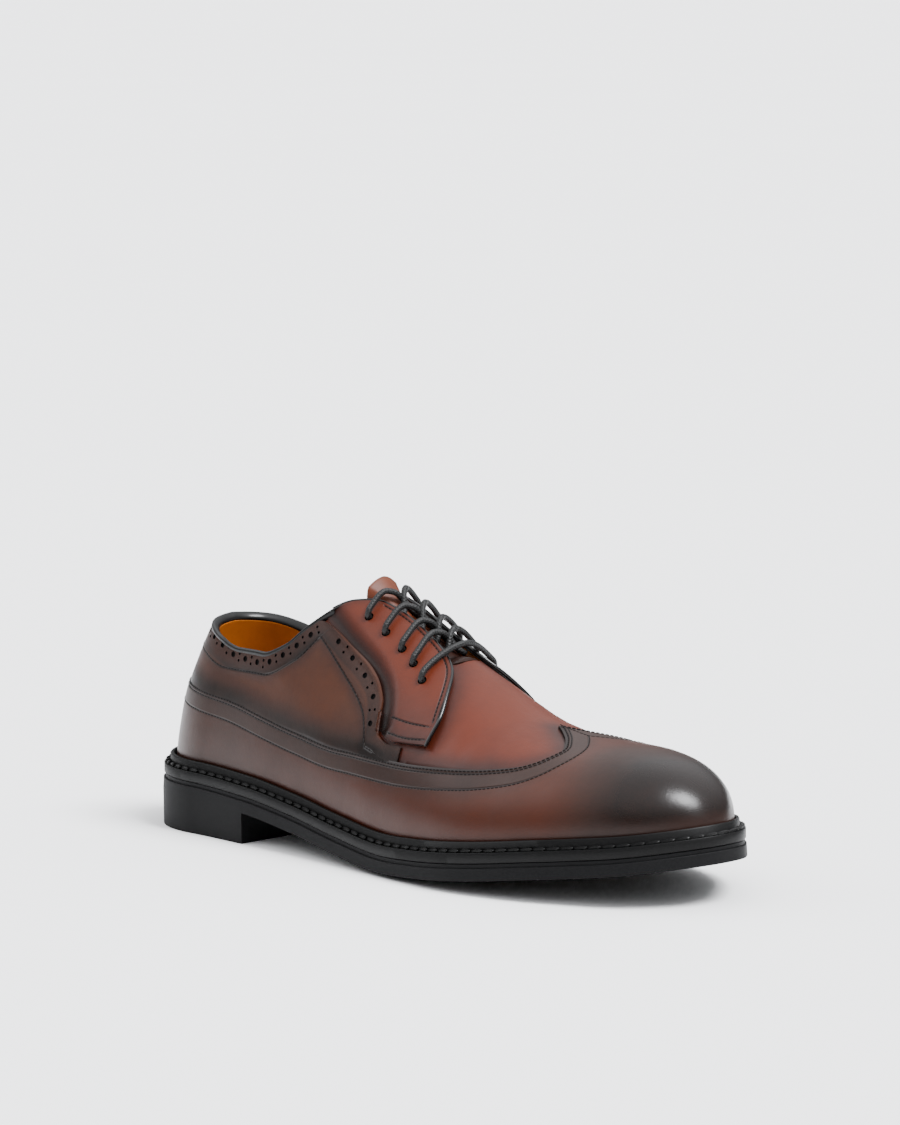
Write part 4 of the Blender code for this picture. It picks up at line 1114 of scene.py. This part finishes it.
def make_quarter(side, sizes):
    """A rear overlay: rolled front edge, soft hollows and two punched strips."""
    name = "quarter_" + SIDES[side]
    grow = FIT + QUARTER_THICKNESS
    start = BACK_SEAM * FIT / SHOE_LENGTH
    foot = (start,) + (COLLAR["run"][:-1] + QUARTER_TOP["foot"])[1:]
    foot_climb = tuple(float(wing_climb(run)) - 0.8 for run in foot)
    top_run = (start,) + COLLAR["run"][1:-1] + QUARTER_TOP["run"]
    top_climb = tuple(c - DRESSED_DROP for c in COLLAR["climb"][:-1]) + QUARTER_TOP["climb"]
    rib = ribs(foot, foot_climb, top_run, top_climb, 190)
    run, climb = between(rib, graded(56, 1.5))
    base = last(side, run, climb, grow)
    wing = last(side, *wing_line(side, 0.0, 600), FIT + WING_THICKNESS)
    ridge, collar = (last(side, *along_table(table, 300), grow) for table in (RIDGE, COLLAR))
    to_ridge = nearest(base, ridge)
    roll = 0.75 * MM * np.exp(-((to_ridge - 1.7 * MM) / (1.5 * MM))**2)
    roll = roll * (1 - step_up(rib[0], 0.500, 0.520))
    inside = np.minimum(nearest(base, collar) / (9.6 * MM), to_ridge / (9.0 * MM))
    strip = 0.34 * (1 - step_up(inside, 0.90, 1.04))
    edge = 0.60 * np.exp(-((nearest(base, wing) - 1 * MM) / (6 * MM))**2)
    # Painted light at the rolled front edge: a dark line of shade at the ridge where it drops to
    # the facing, and a lighter band (pale) as a highlight on the crest of the roll
    ridge_shade = 0.65 * np.exp(-(to_ridge / (0.9 * MM))**2)
    pale = -0.30 * np.exp(-((to_ridge - 1.5 * MM) / (1.3 * MM))**2)
    row_a = signed_gap(base, side, *along_table(COLLAR_ROW, 400), grow)
    row_b = signed_gap(base, side, *along_table(FRONT_ROW, 300), grow)
    rows = np.minimum(np.abs(row_a), np.abs(row_b))
    tone = 0.34 + np.maximum(strip, edge) + pale
    tone = np.clip(tone + 0.22 * np.exp(-(rows / (3 * MM))**2), 0, 1)
    lift = grow + roll - quarter_hollows(side, run, climb)
    lift = lift - (QUARTER_THICKNESS - 0.5 * MM) * step_up(rib[0], 0.543, 0.562)
    layers = [last(side, run, climb, lift), tone, ridge_shade, row_a, row_b]
    if side == MEDIAL:
        layers = [layer[:, ::-1] for layer in layers]
    place, tone, ridge_shade, row_a, row_b = layers
    piece = grid("dressed_" + name, place)
    keep(piece, burnish=tone, line=ridge_shade, row_a=row_a, row_b=row_b)
    weld(piece)
    paint(piece, "quarter_calf")
    thicken(piece, 0.9 * MM, bevel=0.25 * MM)
    holes = strip_holes(side, *along_table(COLLAR_HOLES, 500), grow, sizes, 0.2, 8.1 * MM,
                        SHALLOW_PUNCH)
    holes += strip_holes(side, *along_table(FRONT_HOLES, 400), grow, sizes, 0.95, 11.2 * MM,
                         SHALLOW_PUNCH)
    punch([piece], holes)
    finish(piece, [name], 50)


def quarter_hollows(side, run, climb):
    """Soft hollows of the quarter behind the ankle and under the collar."""
    x = last(side, run, climb)[..., 0] / MM
    waist = 0.45 * np.exp(-((x - 118) / 16) ** 2 - ((climb - 36) / 6) ** 2)
    ankle = 0.50 * np.exp(-((x - 62) / 20) ** 2 - ((climb - 27) / 4) ** 2)
    swell = -0.35 * np.exp(-((x - 92) / 10) ** 2 - ((climb - 32) / 6) ** 2)
    return (waist + ankle + swell) * MM


def facing_rows(side):
    """Stitched lines of a facing: inside its front edge, at its foot and across its tab."""
    front = {"run": FACING["run"][2:], "climb": FACING["climb"][2:]}
    foot = {"run": (0.541, 0.571, 0.600), "climb": (35.9, 37.8, 40.9)}
    tab = {"run": (0.539, 0.570, 0.598), "climb": (41.0, 43.2, 46.0)}
    return (walk(side, *along_table(front, 400), 1.9 * MM), along_table(foot, 200),
            along_table(tab, 200))


def make_facing_bead(side, grow):
    """The black bead along the free edge of a facing."""
    table = {"run": FACING["run"] + (0.604,), "climb": FACING["climb"] + (39.2,)}
    place, by_run, by_climb, normal = surface(side, *along_table(table, 260), grow)
    bead = sweep("edge_bead_" + SIDES[side], place, BEAD_WIDTH, BEAD_HEIGHT, 12, normal)
    paint(bead, "edge_dye")
    finish(bead, (), 60)


def make_facing(side, sizes):
    """An eyelet facing, which comes out from under the quarter."""
    name = "facing_" + SIDES[side]
    rib = ribs(HIDDEN_FOOT["run"], HIDDEN_FOOT["climb"], FACING["run"], FACING["climb"], 130)
    run, climb = between(rib, graded(48))
    free = step_up(rib[0], 0.526, 0.541)
    full = FACING_FIT + FACING_THICKNESS
    low = 0.5 * MM
    ridge = along_table(RIDGE, 300)
    past = -signed_gap(last(side, run, climb, low), side, *ridge, low)
    lift = low + (full - low) * np.maximum(step_up(past, 0.2 * MM, 7 * MM), free[None])
    base = last(side, run, climb, lift)
    near = nearest(base, last(side, *ridge, 1.7 * MM))
    edge = nearest(base, last(side, *along_table(FACING, 300), full))
    bottom = {"run": FACING["foot_run"][5:], "climb": FACING["foot_climb"][5:]}
    foot = nearest(base, last(side, *along_table(bottom, 200), full))
    # Painted shade: darker within 5 mm of the quarter's ridge, which stands over the facing; the
    # facing is also darker lower down, along its free edge and near its foot
    tone = (0.60 * np.exp(-(near / (5 * MM))**2) + 0.24 * step_up(-climb, -60, -42)
            + 0.25 * np.exp(-(edge / (2.2 * MM))**2) + 0.28 * np.exp(-(foot / (5 * MM))**2))
    # A dark line along the ridge is painted shadow of the quarter's edge; along the free edge the
    # line is black edge dye
    line = 0.75 * np.exp(-((near - 0.6 * MM) / (1.0 * MM))**2) * (1 - free[None])
    line = np.maximum(line, 0.9 * np.exp(-(edge / (0.5 * MM))**2))
    rows = [signed_gap(base, side, *row, full) for row in facing_rows(side)]
    layers = [base, tone, line, *rows]
    if side == MEDIAL:
        layers = [layer[:, ::-1] for layer in layers]
    place, tone, line, row_a, row_b, row_c = layers
    make_facing_bead(side, full - 0.75 * MM)
    piece = grid("dressed_" + name, place)
    keep(piece, burnish=np.clip(tone, 0, 1), line=np.clip(line, 0, 1), row_a=row_a,
         row_b=row_b, row_c=row_c)
    weld(piece)
    paint(piece, "facing_calf", "edge_dye")
    thicken(piece, FACING_THICKNESS, rim=1, bevel=0.45 * MM)
    own = [hole for hole in eyelet_holes() if (hole[0][1] < 0) == (side == LATERAL)]
    punch([piece], own, 24)
    finish(piece, [name], 50)


def make_tongue(sizes):
    """The tongue, sunk under the facings and flared above them."""
    edges = (TONGUE["foot_run"], TONGUE["foot_climb"], TONGUE["run"],
             (CREST,) * len(TONGUE["run"]))
    run, climb = between(ribs(*edges, 90), graded(26))
    sides = []
    for side in (LATERAL, MEDIAL):
        sink = TONGUE_SINK * smooth(run, SINK["run"], SINK["share"])
        facing_edge = smooth(run, FACING["run"], FACING["climb"])
        proud = np.clip((FLARE_RUN - run) / (FLARE_RUN - TONGUE["run"][0]), 0, 1)
        free = step_up(climb - facing_edge, -2.0, 5.0)
        grow = TONGUE_FLARE * proud * free - sink
        sides.append(last(side, run, climb, grow))
    place = np.concatenate([sides[0], sides[1][-2::-1]], 0)
    piece = grid("dressed_tongue", place)
    paint(piece, "tongue_calf", "lining_calf")
    x = place[..., 0]
    # Painted shade: darker forward of 138 mm, where the tongue sinks between the facings under the
    # laces
    tone = 0.10 + 0.75 * step_up(x, 138 * MM, 150 * MM)
    keep(piece, burnish=tone, line=np.zeros_like(x))
    weld(piece)
    outward(piece)
    thicken(piece, TONGUE_THICKNESS, inner=1, bevel=0.5 * MM)
    finish(piece, ["tongue"], 50)


def make_binding(sizes):
    """The rolled black edge of the collar."""
    table = {"run": COLLAR["run"] + (0.398,), "climb": COLLAR["climb"] + (59.5,)}
    run, climb = along_table(table, 170)
    angle = np.linspace(0, 2 * math.pi, 19)
    wide = np.sign(np.cos(angle)) * np.abs(np.cos(angle)) ** 0.75
    tall = np.sign(np.sin(angle)) * np.abs(np.sin(angle)) ** 0.75
    middle_climb = (BINDING_RISE - BINDING_DROP) / 2
    half_climb = (BINDING_RISE + BINDING_DROP) / 2
    parts = []
    for side in (LATERAL, MEDIAL):
        rows = last(side, run[None, :], climb[None, :] + middle_climb + half_climb * tall[:, None],
                    BINDING_HALF * wide[:, None])
        if side == MEDIAL:
            rows = rows[:, ::-1]
        end = rows.mean(0)[-1 if side == LATERAL else 0]
        cap = np.repeat(end[None, None], len(rows), 0)
        parts.append(grid("binding", np.concatenate(
            [rows, cap] if side == LATERAL else [cap, rows], 1)))
    piece = join("dressed_binding", parts)
    weld(piece)
    outward(piece)
    paint(piece, "bound_edge")
    finish(piece, ["collar_binding"], 60)


# Sole
def plan_ring(runs, grow, height):
    """A closed line around the last on the sole, at a height over or under its top edge."""
    lines = []
    for side in (LATERAL, MEDIAL):
        line = last(side, runs, 0.0, grow)
        line[:, 2] = sole_top(np.clip(line[:, 0], 0, SHOE_LENGTH)) + height
        lines.append(line)
    return np.concatenate([lines[0], lines[1][-2::-1]])


def rim_lean(runs):
    """The storm rim leans out, except around the tip of the toe."""
    return RIM_LEAN * smooth(runs, (0.0, 0.2, 0.8, 0.92, 1.0), (0.8, 0.8, 1.0, 0.3, 0.0))


def across_lines(runs, grow, rows, height):
    """Lines from the lateral to the medial edge of an outline; height(x, across)."""
    left = last(LATERAL, runs, 0.0, grow)
    right = last(MEDIAL, runs, 0.0, grow)
    lines = []
    for t in np.linspace(-1, 1, rows + 1):
        line = left * (1 - t) / 2 + right * (1 + t) / 2
        line[:, 2] = height(np.clip(line[:, 0], 0, SHOE_LENGTH), t)
        lines.append(line)
    return np.array(lines)


def make_welt(sizes):
    """The storm welt: a channel for the thread between its rim and its edge."""
    runs = columns(40, 120, 50)
    rim = FIT + WING_THICKNESS + FIT
    lean = rim_lean(runs)
    edge = EDGE_WIDTH - EDGE_FLARE
    top = rim + lean
    rings = [
        (-WELT_INSET, -WELT_THICKNESS),
        (-WELT_INSET, 0.0),
        (rim, 0.0),
        (top, RIM_HEIGHT - 0.5 * MM),
        (top + 0.3 * MM, RIM_HEIGHT),
        (top + RIM_THICKNESS - 0.4 * MM, RIM_HEIGHT),
        (top + RIM_THICKNESS, RIM_HEIGHT - 0.5 * MM),
        (rim + RIM_THICKNESS + 0.5 * MM, 0.3 * MM),
        (rim + RIM_THICKNESS + 0.8 * MM, -0.3 * MM),
        (edge - 1.0 * MM, -0.5 * MM),
        (edge - 0.7 * MM, 0.0),
        (edge - 0.2 * MM, 0.0),
        (edge, -0.3 * MM),
        (edge, -WELT_THICKNESS + 0.3 * MM),
        (edge - 0.3 * MM, -WELT_THICKNESS),
        (-WELT_INSET, -WELT_THICKNESS),
    ]
    places = np.array([plan_ring(runs, grow, height) for grow, height in rings])
    piece = grid("dressed_welt", places)
    weld(piece)
    outward(piece)
    paint(piece, "welt_rubber")
    finish(piece, ["welt"], 45)


def make_welt_stitches(sizes):
    """The rope of thread beside the rim: each stitch slants over the next."""
    runs = columns(120, 400, 160)
    route = plan_ring(runs, 5.5 * MM, 0.35 * MM)
    steps = np.linalg.norm(np.diff(route, axis=0), axis=1)
    along = np.concatenate([[0.0], np.cumsum(steps)])
    count = int(along[-1] / sizes.welt_pitch)
    spots = (np.arange(count) + 0.5) * along[-1] / count
    place = np.stack([np.interp(spots, along, route[:, k]) for k in range(3)], -1)
    nose = np.stack([np.interp(spots + 1 * MM, along, route[:, k]) for k in range(3)], -1)
    ahead = unit(nose - place)
    up = np.tile((0.0, 0.0, 1.0), (count, 1))
    out = unit(np.cross(ahead, up))
    slant = ahead + out * 0.20 + up * 0.12
    piece = scatter("welt_stitches", place, slant, up, sizes.welt_pitch * 1.25, 1.9 * MM,
                    1.9 * MM)
    paint(piece, "thread_black")
    finish(piece)


def make_outsole(sizes):
    """The rubber sole and heel, with a groove around the side."""
    breast = HEEL_RUN + (TOE_RUN - HEEL_RUN) * (HEEL_BREAST - SEAT_LENGTH) / (
        SHOE_LENGTH - TOE_LENGTH - SEAT_LENGTH)
    runs = columns(40, 120, 50)
    heel_end = int(np.argmin(np.abs(runs - breast)))
    runs[heel_end] = breast
    middle = EDGE_WIDTH - EDGE_FLARE / 2
    under = -WELT_THICKNESS - FIT
    groove = under - GROOVE_HEIGHT
    inset = -WELT_INSET - FIT
    rings = [
        (inset, 0.0),
        (inset, under),
        (middle - GROOVE_DEPTH, under),
        (middle - GROOVE_DEPTH, groove),
        (middle - 0.25 * MM, groove),
        (middle, groove - 0.25 * MM),
        (EDGE_WIDTH, -SOLE_THICKNESS),
    ]
    parts = [grid("side", np.array([plan_ring(runs, grow, height) for grow, height in rings]))]
    heel_runs = runs[:heel_end + 1]
    plateau = across_lines(runs, inset, 8, lambda x, t: sole_top(x))
    forward = across_lines(runs[heel_end:], EDGE_WIDTH, 24, tread)
    heel = across_lines(heel_runs, EDGE_WIDTH, 24, lambda x, t: 0 * x)
    groups = [plateau, forward, heel]
    for side, edge in ((LATERAL, heel[0]), (MEDIAL, heel[-1])):
        top = last(side, heel_runs, 0.0, EDGE_WIDTH)
        top[:, 2] = sole_top(np.clip(top[:, 0], 0, SHOE_LENGTH)) - SOLE_THICKNESS
        groups.append(np.array([top, edge]))
    groups.append(np.array([forward[:, 0], heel[:, -1]]))
    parts += [grid("part", np.array(group)) for group in groups]
    piece = join("dressed_outsole", parts)
    weld(piece, 0.01 * MM)
    outward(piece)
    paint(piece, "rubber")
    finish(piece, ["outsole"], 35)


def make_insole(sizes):
    """The insole, which closes the shoe inside."""
    runs = columns(24, 60, 30)
    grow = -WALL - INSOLE_MARGIN
    top = FIT + INSOLE_THICKNESS
    low = across_lines(runs, grow, 12, lambda x, t: sole_top(x) + FIT)
    high = across_lines(runs, grow - INSOLE_MARGIN, 12, lambda x, t: sole_top(x) + top)
    sides = [np.array([low[k], high[k]]) for k in (0, -1)]
    parts = [grid("insole", points) for points in (low, high, *sides)]
    for part in parts:
        count = len(part.data.vertices)
        keep(part, burnish=np.full(count, 0.3), line=np.zeros(count))
    piece = join("dressed_insole", parts)
    weld(piece, 0.01 * MM)
    outward(piece)
    paint(piece, "lining_calf")
    finish(piece, ["insole"], 40)


# Laces
def frame_at(side, run, climb):
    """Place on the last, direction along it, direction up its section, and its normal."""
    step = 0.002
    place = last(side, run, climb, 0.0)
    along = last(side, run + step, climb, 0.0) - last(side, run - step, climb, 0.0)
    up = last(side, run, climb + 1, 0.0) - last(side, run, climb - 1, 0.0)
    normal = unit(np.cross(along, up) * -side)
    along = unit(np.cross(up, normal))
    return place, along, np.cross(normal, along), normal


def through(stops, count):
    """A smooth route through places, evenly spread along it."""
    places = np.array(stops)
    along = np.concatenate([[0.0], np.cumsum(np.linalg.norm(np.diff(places, axis=0), axis=1))])
    spread = np.linspace(0, along[-1], count)
    return np.stack([smooth(spread, along, places[:, k]) for k in range(3)], -1)


def out_of_hole(side, row):
    """Places of the lace from under an eyelet to the top of its facing."""
    place, along, up, normal = frame_at(side, EYELETS["run"][row], EYELETS["climb"][row])
    place = place + normal * FACING_FIT
    return [place - normal * FACING_THICKNESS,
            place + normal * FACING_THICKNESS / 2,
            place + normal * (LACE_OVER - LACE / 4),
            place + normal * (LACE_OVER + LACE / 6) + up * LACE * 0.7,
            place + normal * (LACE_OVER + LACE / 6) + up * LACE * 1.6]


def strand(side, row, lift):
    """From an eyelet, over the facing's edge, across the throat and under the other facing."""
    under = (FACING_FIT - TONGUE_SINK) / 2
    near, far = LACE_CROSSING["share"]
    rising, upper_climb, falling = LACE_CROSSING["climb"]
    run = EYELETS["run"][row]
    onward = min(EYELETS["run"][row + 1], LAST_TUCK)
    middle = (run + onward) / 2
    high = FACING_FIT + LACE_OVER / CREST_SHARE
    stops = out_of_hole(side, row)
    stops += [
        last(side, run + near * (middle - run), rising, high + LACE / 8),
        last(side, run + far * (middle - run), upper_climb, high - LACE / 3 + lift / 2),
        last(side, middle, CREST, under + LACE + lift),
        last(-side, (middle + onward) / 2, falling, under + LACE / 8),
        last(-side, onward, TUCK_CLIMB, under),
    ]
    return through(stops, 90)


def make_laces(sizes):
    """Four crossings and a straight bar."""
    for row in range(len(EYELETS["run"]) - 1):
        parts = [sweep("lace", strand(LATERAL, row, 0.0), LACE, LACE, 14),
                 sweep("lace", strand(MEDIAL, row, LACE - LACE_JOIN), LACE, LACE, 14)]
        name = f"lace_cross_{row + 1}"
        piece = join("dressed_" + name, parts)
        paint(piece, "lace")
        finish(piece, [name], 60)
    row = len(EYELETS["run"]) - 1
    crest = last(LATERAL, EYELETS["run"][row] + BAR_AHEAD, CREST,
                 FACING_FIT + LACE_OVER / CREST_SHARE)
    stops = out_of_hole(LATERAL, row) + [crest] + out_of_hole(MEDIAL, row)[::-1]
    bar = sweep("dressed_lace_bar", through(stops, 120), LACE, LACE, 14)
    paint(bar, "lace")
    finish(bar, ["lace_bar"], 60)


# Stitching
def stitch_row(side, run, climb, grow, sizes):
    """Places, directions and normals of the stitches of one row."""
    total = line_length(side, run, climb, grow)
    spots = (np.arange(int(total / sizes.stitch_pitch)) + 0.5) * sizes.stitch_pitch
    r, c = at_distances(side, run, climb, grow, spots)
    place, by_run, by_climb, normal = surface(side, r, c, grow)
    fine = 0.3 * MM
    r2, c2 = at_distances(side, run, climb, grow, spots + fine)
    r, c, place, normal = r[:len(r2)], c[:len(r2)], place[:len(r2)], normal[:len(r2)]
    nose = last(side, r2, c2, grow)
    good = np.linalg.norm(nose - place, axis=1) > fine * 0.2
    return place[good], (nose - place)[good], normal[good]


def make_stitching(sizes):
    """The stitches along the wing, the quarters and the facings."""
    rows = {"wing_stitches": [], "quarter_stitches": [], "facing_stitches": []}
    wing_grow = FIT + WING_THICKNESS
    quarter_grow = FIT + QUARTER_THICKNESS
    facing_grow = FACING_FIT + FACING_THICKNESS
    for side in (LATERAL, MEDIAL):
        for offset in (sizes.first_row, sizes.second_row, sizes.strip_width):
            rows["wing_stitches"].append((side, *wing_line(side, offset), wing_grow))
        for table in (COLLAR_ROW, FRONT_ROW):
            rows["quarter_stitches"].append((side, *along_table(table, 500), quarter_grow))
        for row in facing_rows(side):
            rows["facing_stitches"].append((side, *row, facing_grow))
    for name, several in rows.items():
        found = [stitch_row(side, run, climb, grow, sizes) for side, run, climb, grow in several]
        place, ahead, normal = (np.concatenate(part) for part in zip(*found))
        piece = scatter(name, place, ahead, normal, sizes.stitch_pitch * 0.80, 0.50 * MM,
                        0.42 * MM)
        paint(piece, "thread_dark")
        finish(piece)


# Stage
def make_stage(sizes):
    """A pale floor, the light of a studio and the camera."""
    bpy.ops.mesh.primitive_plane_add(size=160.0)
    floor = bpy.context.object
    floor.name = "backdrop"
    paint(floor, "floor")
    world = bpy.data.worlds.new("studio")
    bpy.context.scene.world = world
    world.use_nodes = True
    tree = world.node_tree
    way = add(tree, "ShaderNodeTexCoord").outputs["Generated"]
    # A dim room under a bright ceiling: the floor is pale, the sides of the shoe stay deep
    height = add(tree, "ShaderNodeSeparateXYZ", {0: way}).outputs["Z"]
    total = add(tree, "ShaderNodeMapRange", {"Value": height, "From Min": 0.0, "From Max": 1.0,
                                             "To Min": ROOM_LIGHT[0], "To Max": ROOM_LIGHT[1]},
                interpolation_type="SMOOTHSTEP").outputs[0]
    # Soft boxes are bright patches of the ceiling
    for direction, width, power in SOFT_BOXES:
        aim = add(tree, "ShaderNodeVectorMath", {0: way, 1: tuple(Vector(direction).normalized())},
                  operation="DOT_PRODUCT").outputs["Value"]
        patch = add(tree, "ShaderNodeMapRange",
                    {"Value": aim, "From Min": math.cos(math.radians(width)),
                     "From Max": math.cos(math.radians(width / 2)), "To Min": 0.0,
                     "To Max": power}, interpolation_type="SMOOTHSTEP").outputs[0]
        total = add(tree, "ShaderNodeMath", {0: total, 1: patch}, operation="ADD").outputs[0]
    tree.links.new(total, tree.nodes["Background"].inputs["Strength"])
    tree.nodes["Background"].inputs["Color"].default_value = linear("#fbfcff")
    azimuth, elevation, roll = (math.radians(turn) for turn in CAMERA_TURNS)
    back = Vector((math.sin(azimuth) * math.cos(elevation),
                   -math.cos(azimuth) * math.cos(elevation), math.sin(elevation)))
    right = Vector((math.cos(azimuth), math.sin(azimuth), 0.0))
    up = back.cross(right)
    turned_right = right * math.cos(roll) + up * math.sin(roll)
    turned_up = up * math.cos(roll) - right * math.sin(roll)
    bpy.ops.object.camera_add(location=Vector(CAMERA_AIM - ORIGIN) + back * CAMERA_AWAY)
    camera = bpy.context.object
    camera.rotation_mode = "QUATERNION"
    axes = Matrix((turned_right, turned_up, back)).transposed()
    camera.rotation_quaternion = axes.to_quaternion()
    camera.data.lens = CAMERA_LENS
    camera.data.sensor_width = 36.0
    camera.data.clip_start = 0.05
    camera.data.clip_end = 200.0
    bpy.context.scene.camera = camera


# Add-on
class BrogueSizes(bpy.types.PropertyGroup):
    """Sizes of the holes and stitches."""

    large_hole: FloatProperty(name="Large hole", description="Width of the large punched holes",
                              default=2.5 * MM, unit="LENGTH", subtype="DISTANCE")
    small_hole: FloatProperty(name="Small hole", description="Width of the small punched holes",
                              default=1.25 * MM, unit="LENGTH", subtype="DISTANCE")
    pair_gap: FloatProperty(name="Pair gap", description="Distance between the holes of a pair",
                            default=2.7 * MM, unit="LENGTH", subtype="DISTANCE")
    strip_middle: FloatProperty(name="Strip middle", description="Wing's edge to its hole line",
                                default=5.3 * MM, unit="LENGTH", subtype="DISTANCE")
    strip_width: FloatProperty(name="Strip width", description="Wing's edge to the lower row",
                               default=9.2 * MM, unit="LENGTH", subtype="DISTANCE")
    first_row: FloatProperty(name="First row", description="Wing's edge to its first stitches",
                             default=1.2 * MM, unit="LENGTH", subtype="DISTANCE")
    second_row: FloatProperty(name="Second row", description="Wing's edge to its second stitches",
                              default=2.5 * MM, unit="LENGTH", subtype="DISTANCE")
    stitch_pitch: FloatProperty(name="Stitch pitch", description="Length of one fine stitch",
                                default=1.9 * MM, unit="LENGTH", subtype="DISTANCE")
    welt_pitch: FloatProperty(name="Welt pitch", description="Length of one welt stitch",
                              default=5.7 * MM, unit="LENGTH", subtype="DISTANCE")


class BROGUE_OT_sole(bpy.types.Operator):
    """Build the rubber sole, the welt with its rope stitches, and the insole."""

    bl_idname = "brogue.sole"
    bl_label = "Sole"
    bl_options = {"REGISTER", "UNDO"}

    def execute(self, context):
        sizes = context.scene.brogue_sizes
        make_outsole(sizes)
        make_welt(sizes)
        make_welt_stitches(sizes)
        make_insole(sizes)
        return {"FINISHED"}


class BROGUE_OT_upper(bpy.types.Operator):
    """Build the vamp with its lining, and the tongue."""

    bl_idname = "brogue.upper"
    bl_label = "Upper"
    bl_options = {"REGISTER", "UNDO"}

    def execute(self, context):
        sizes = context.scene.brogue_sizes
        make_upper(sizes)
        make_tongue(sizes)
        return {"FINISHED"}


class BROGUE_OT_wing(bpy.types.Operator):
    """Build the long wing."""

    bl_idname = "brogue.wing"
    bl_label = "Wing"
    bl_options = {"REGISTER", "UNDO"}

    def execute(self, context):
        sizes = context.scene.brogue_sizes
        make_wing(sizes)
        return {"FINISHED"}


class BROGUE_OT_quarters(bpy.types.Operator):
    """Build the two rear overlays with their punched strips."""

    bl_idname = "brogue.quarters"
    bl_label = "Quarters"
    bl_options = {"REGISTER", "UNDO"}

    def execute(self, context):
        sizes = context.scene.brogue_sizes
        make_quarter(LATERAL, sizes)
        make_quarter(MEDIAL, sizes)
        return {"FINISHED"}


class BROGUE_OT_facings(bpy.types.Operator):
    """Build the two eyelet facings with their black edges."""

    bl_idname = "brogue.facings"
    bl_label = "Facings"
    bl_options = {"REGISTER", "UNDO"}

    def execute(self, context):
        sizes = context.scene.brogue_sizes
        make_facing(LATERAL, sizes)
        make_facing(MEDIAL, sizes)
        return {"FINISHED"}


class BROGUE_OT_binding(bpy.types.Operator):
    """Build the rolled edge of the collar."""

    bl_idname = "brogue.binding"
    bl_label = "Binding"
    bl_options = {"REGISTER", "UNDO"}

    def execute(self, context):
        sizes = context.scene.brogue_sizes
        make_binding(sizes)
        return {"FINISHED"}


class BROGUE_OT_laces(bpy.types.Operator):
    """Build the lace through the eyelets."""

    bl_idname = "brogue.laces"
    bl_label = "Laces"
    bl_options = {"REGISTER", "UNDO"}

    def execute(self, context):
        sizes = context.scene.brogue_sizes
        make_laces(sizes)
        return {"FINISHED"}


class BROGUE_OT_stitching(bpy.types.Operator):
    """Build the rows of fine stitches."""

    bl_idname = "brogue.stitching"
    bl_label = "Stitching"
    bl_options = {"REGISTER", "UNDO"}

    def execute(self, context):
        sizes = context.scene.brogue_sizes
        make_stitching(sizes)
        return {"FINISHED"}


class BROGUE_OT_stage(bpy.types.Operator):
    """Set up the backdrop, the light and the camera."""

    bl_idname = "brogue.stage"
    bl_label = "Stage"
    bl_options = {"REGISTER", "UNDO"}

    def execute(self, context):
        sizes = context.scene.brogue_sizes
        make_stage(sizes)
        return {"FINISHED"}


OPERATORS = (
    BROGUE_OT_sole, BROGUE_OT_upper, BROGUE_OT_wing, BROGUE_OT_quarters,
    BROGUE_OT_facings, BROGUE_OT_binding, BROGUE_OT_laces,
    BROGUE_OT_stitching, BROGUE_OT_stage,
)


class BROGUE_PT_panel(bpy.types.Panel):
    """Sizes and steps of the shoe."""

    bl_label = "Brogue shoe"
    bl_space_type = "VIEW_3D"
    bl_region_type = "UI"
    bl_category = "Brogue"

    def draw(self, context):
        for key in BrogueSizes.__annotations__:
            self.layout.prop(context.scene.brogue_sizes, key)
        for each in OPERATORS:
            self.layout.operator(each.bl_idname)


CLASSES = (BrogueSizes, *OPERATORS, BROGUE_PT_panel)


def register():
    for each in CLASSES:
        bpy.utils.register_class(each)
    bpy.types.Scene.brogue_sizes = PointerProperty(type=BrogueSizes)


def unregister():
    del bpy.types.Scene.brogue_sizes
    for each in reversed(CLASSES):
        bpy.utils.unregister_class(each)


def main():
    register()
    bpy.ops.object.select_all(action="DESELECT")
    bpy.ops.brogue.sole()
    bpy.ops.brogue.upper()
    bpy.ops.brogue.wing()
    bpy.ops.brogue.quarters()
    bpy.ops.brogue.facings()
    bpy.ops.brogue.binding()
    bpy.ops.brogue.laces()
    bpy.ops.brogue.stitching()
    bpy.ops.brogue.stage()


if __name__ == "__main__":
    main()
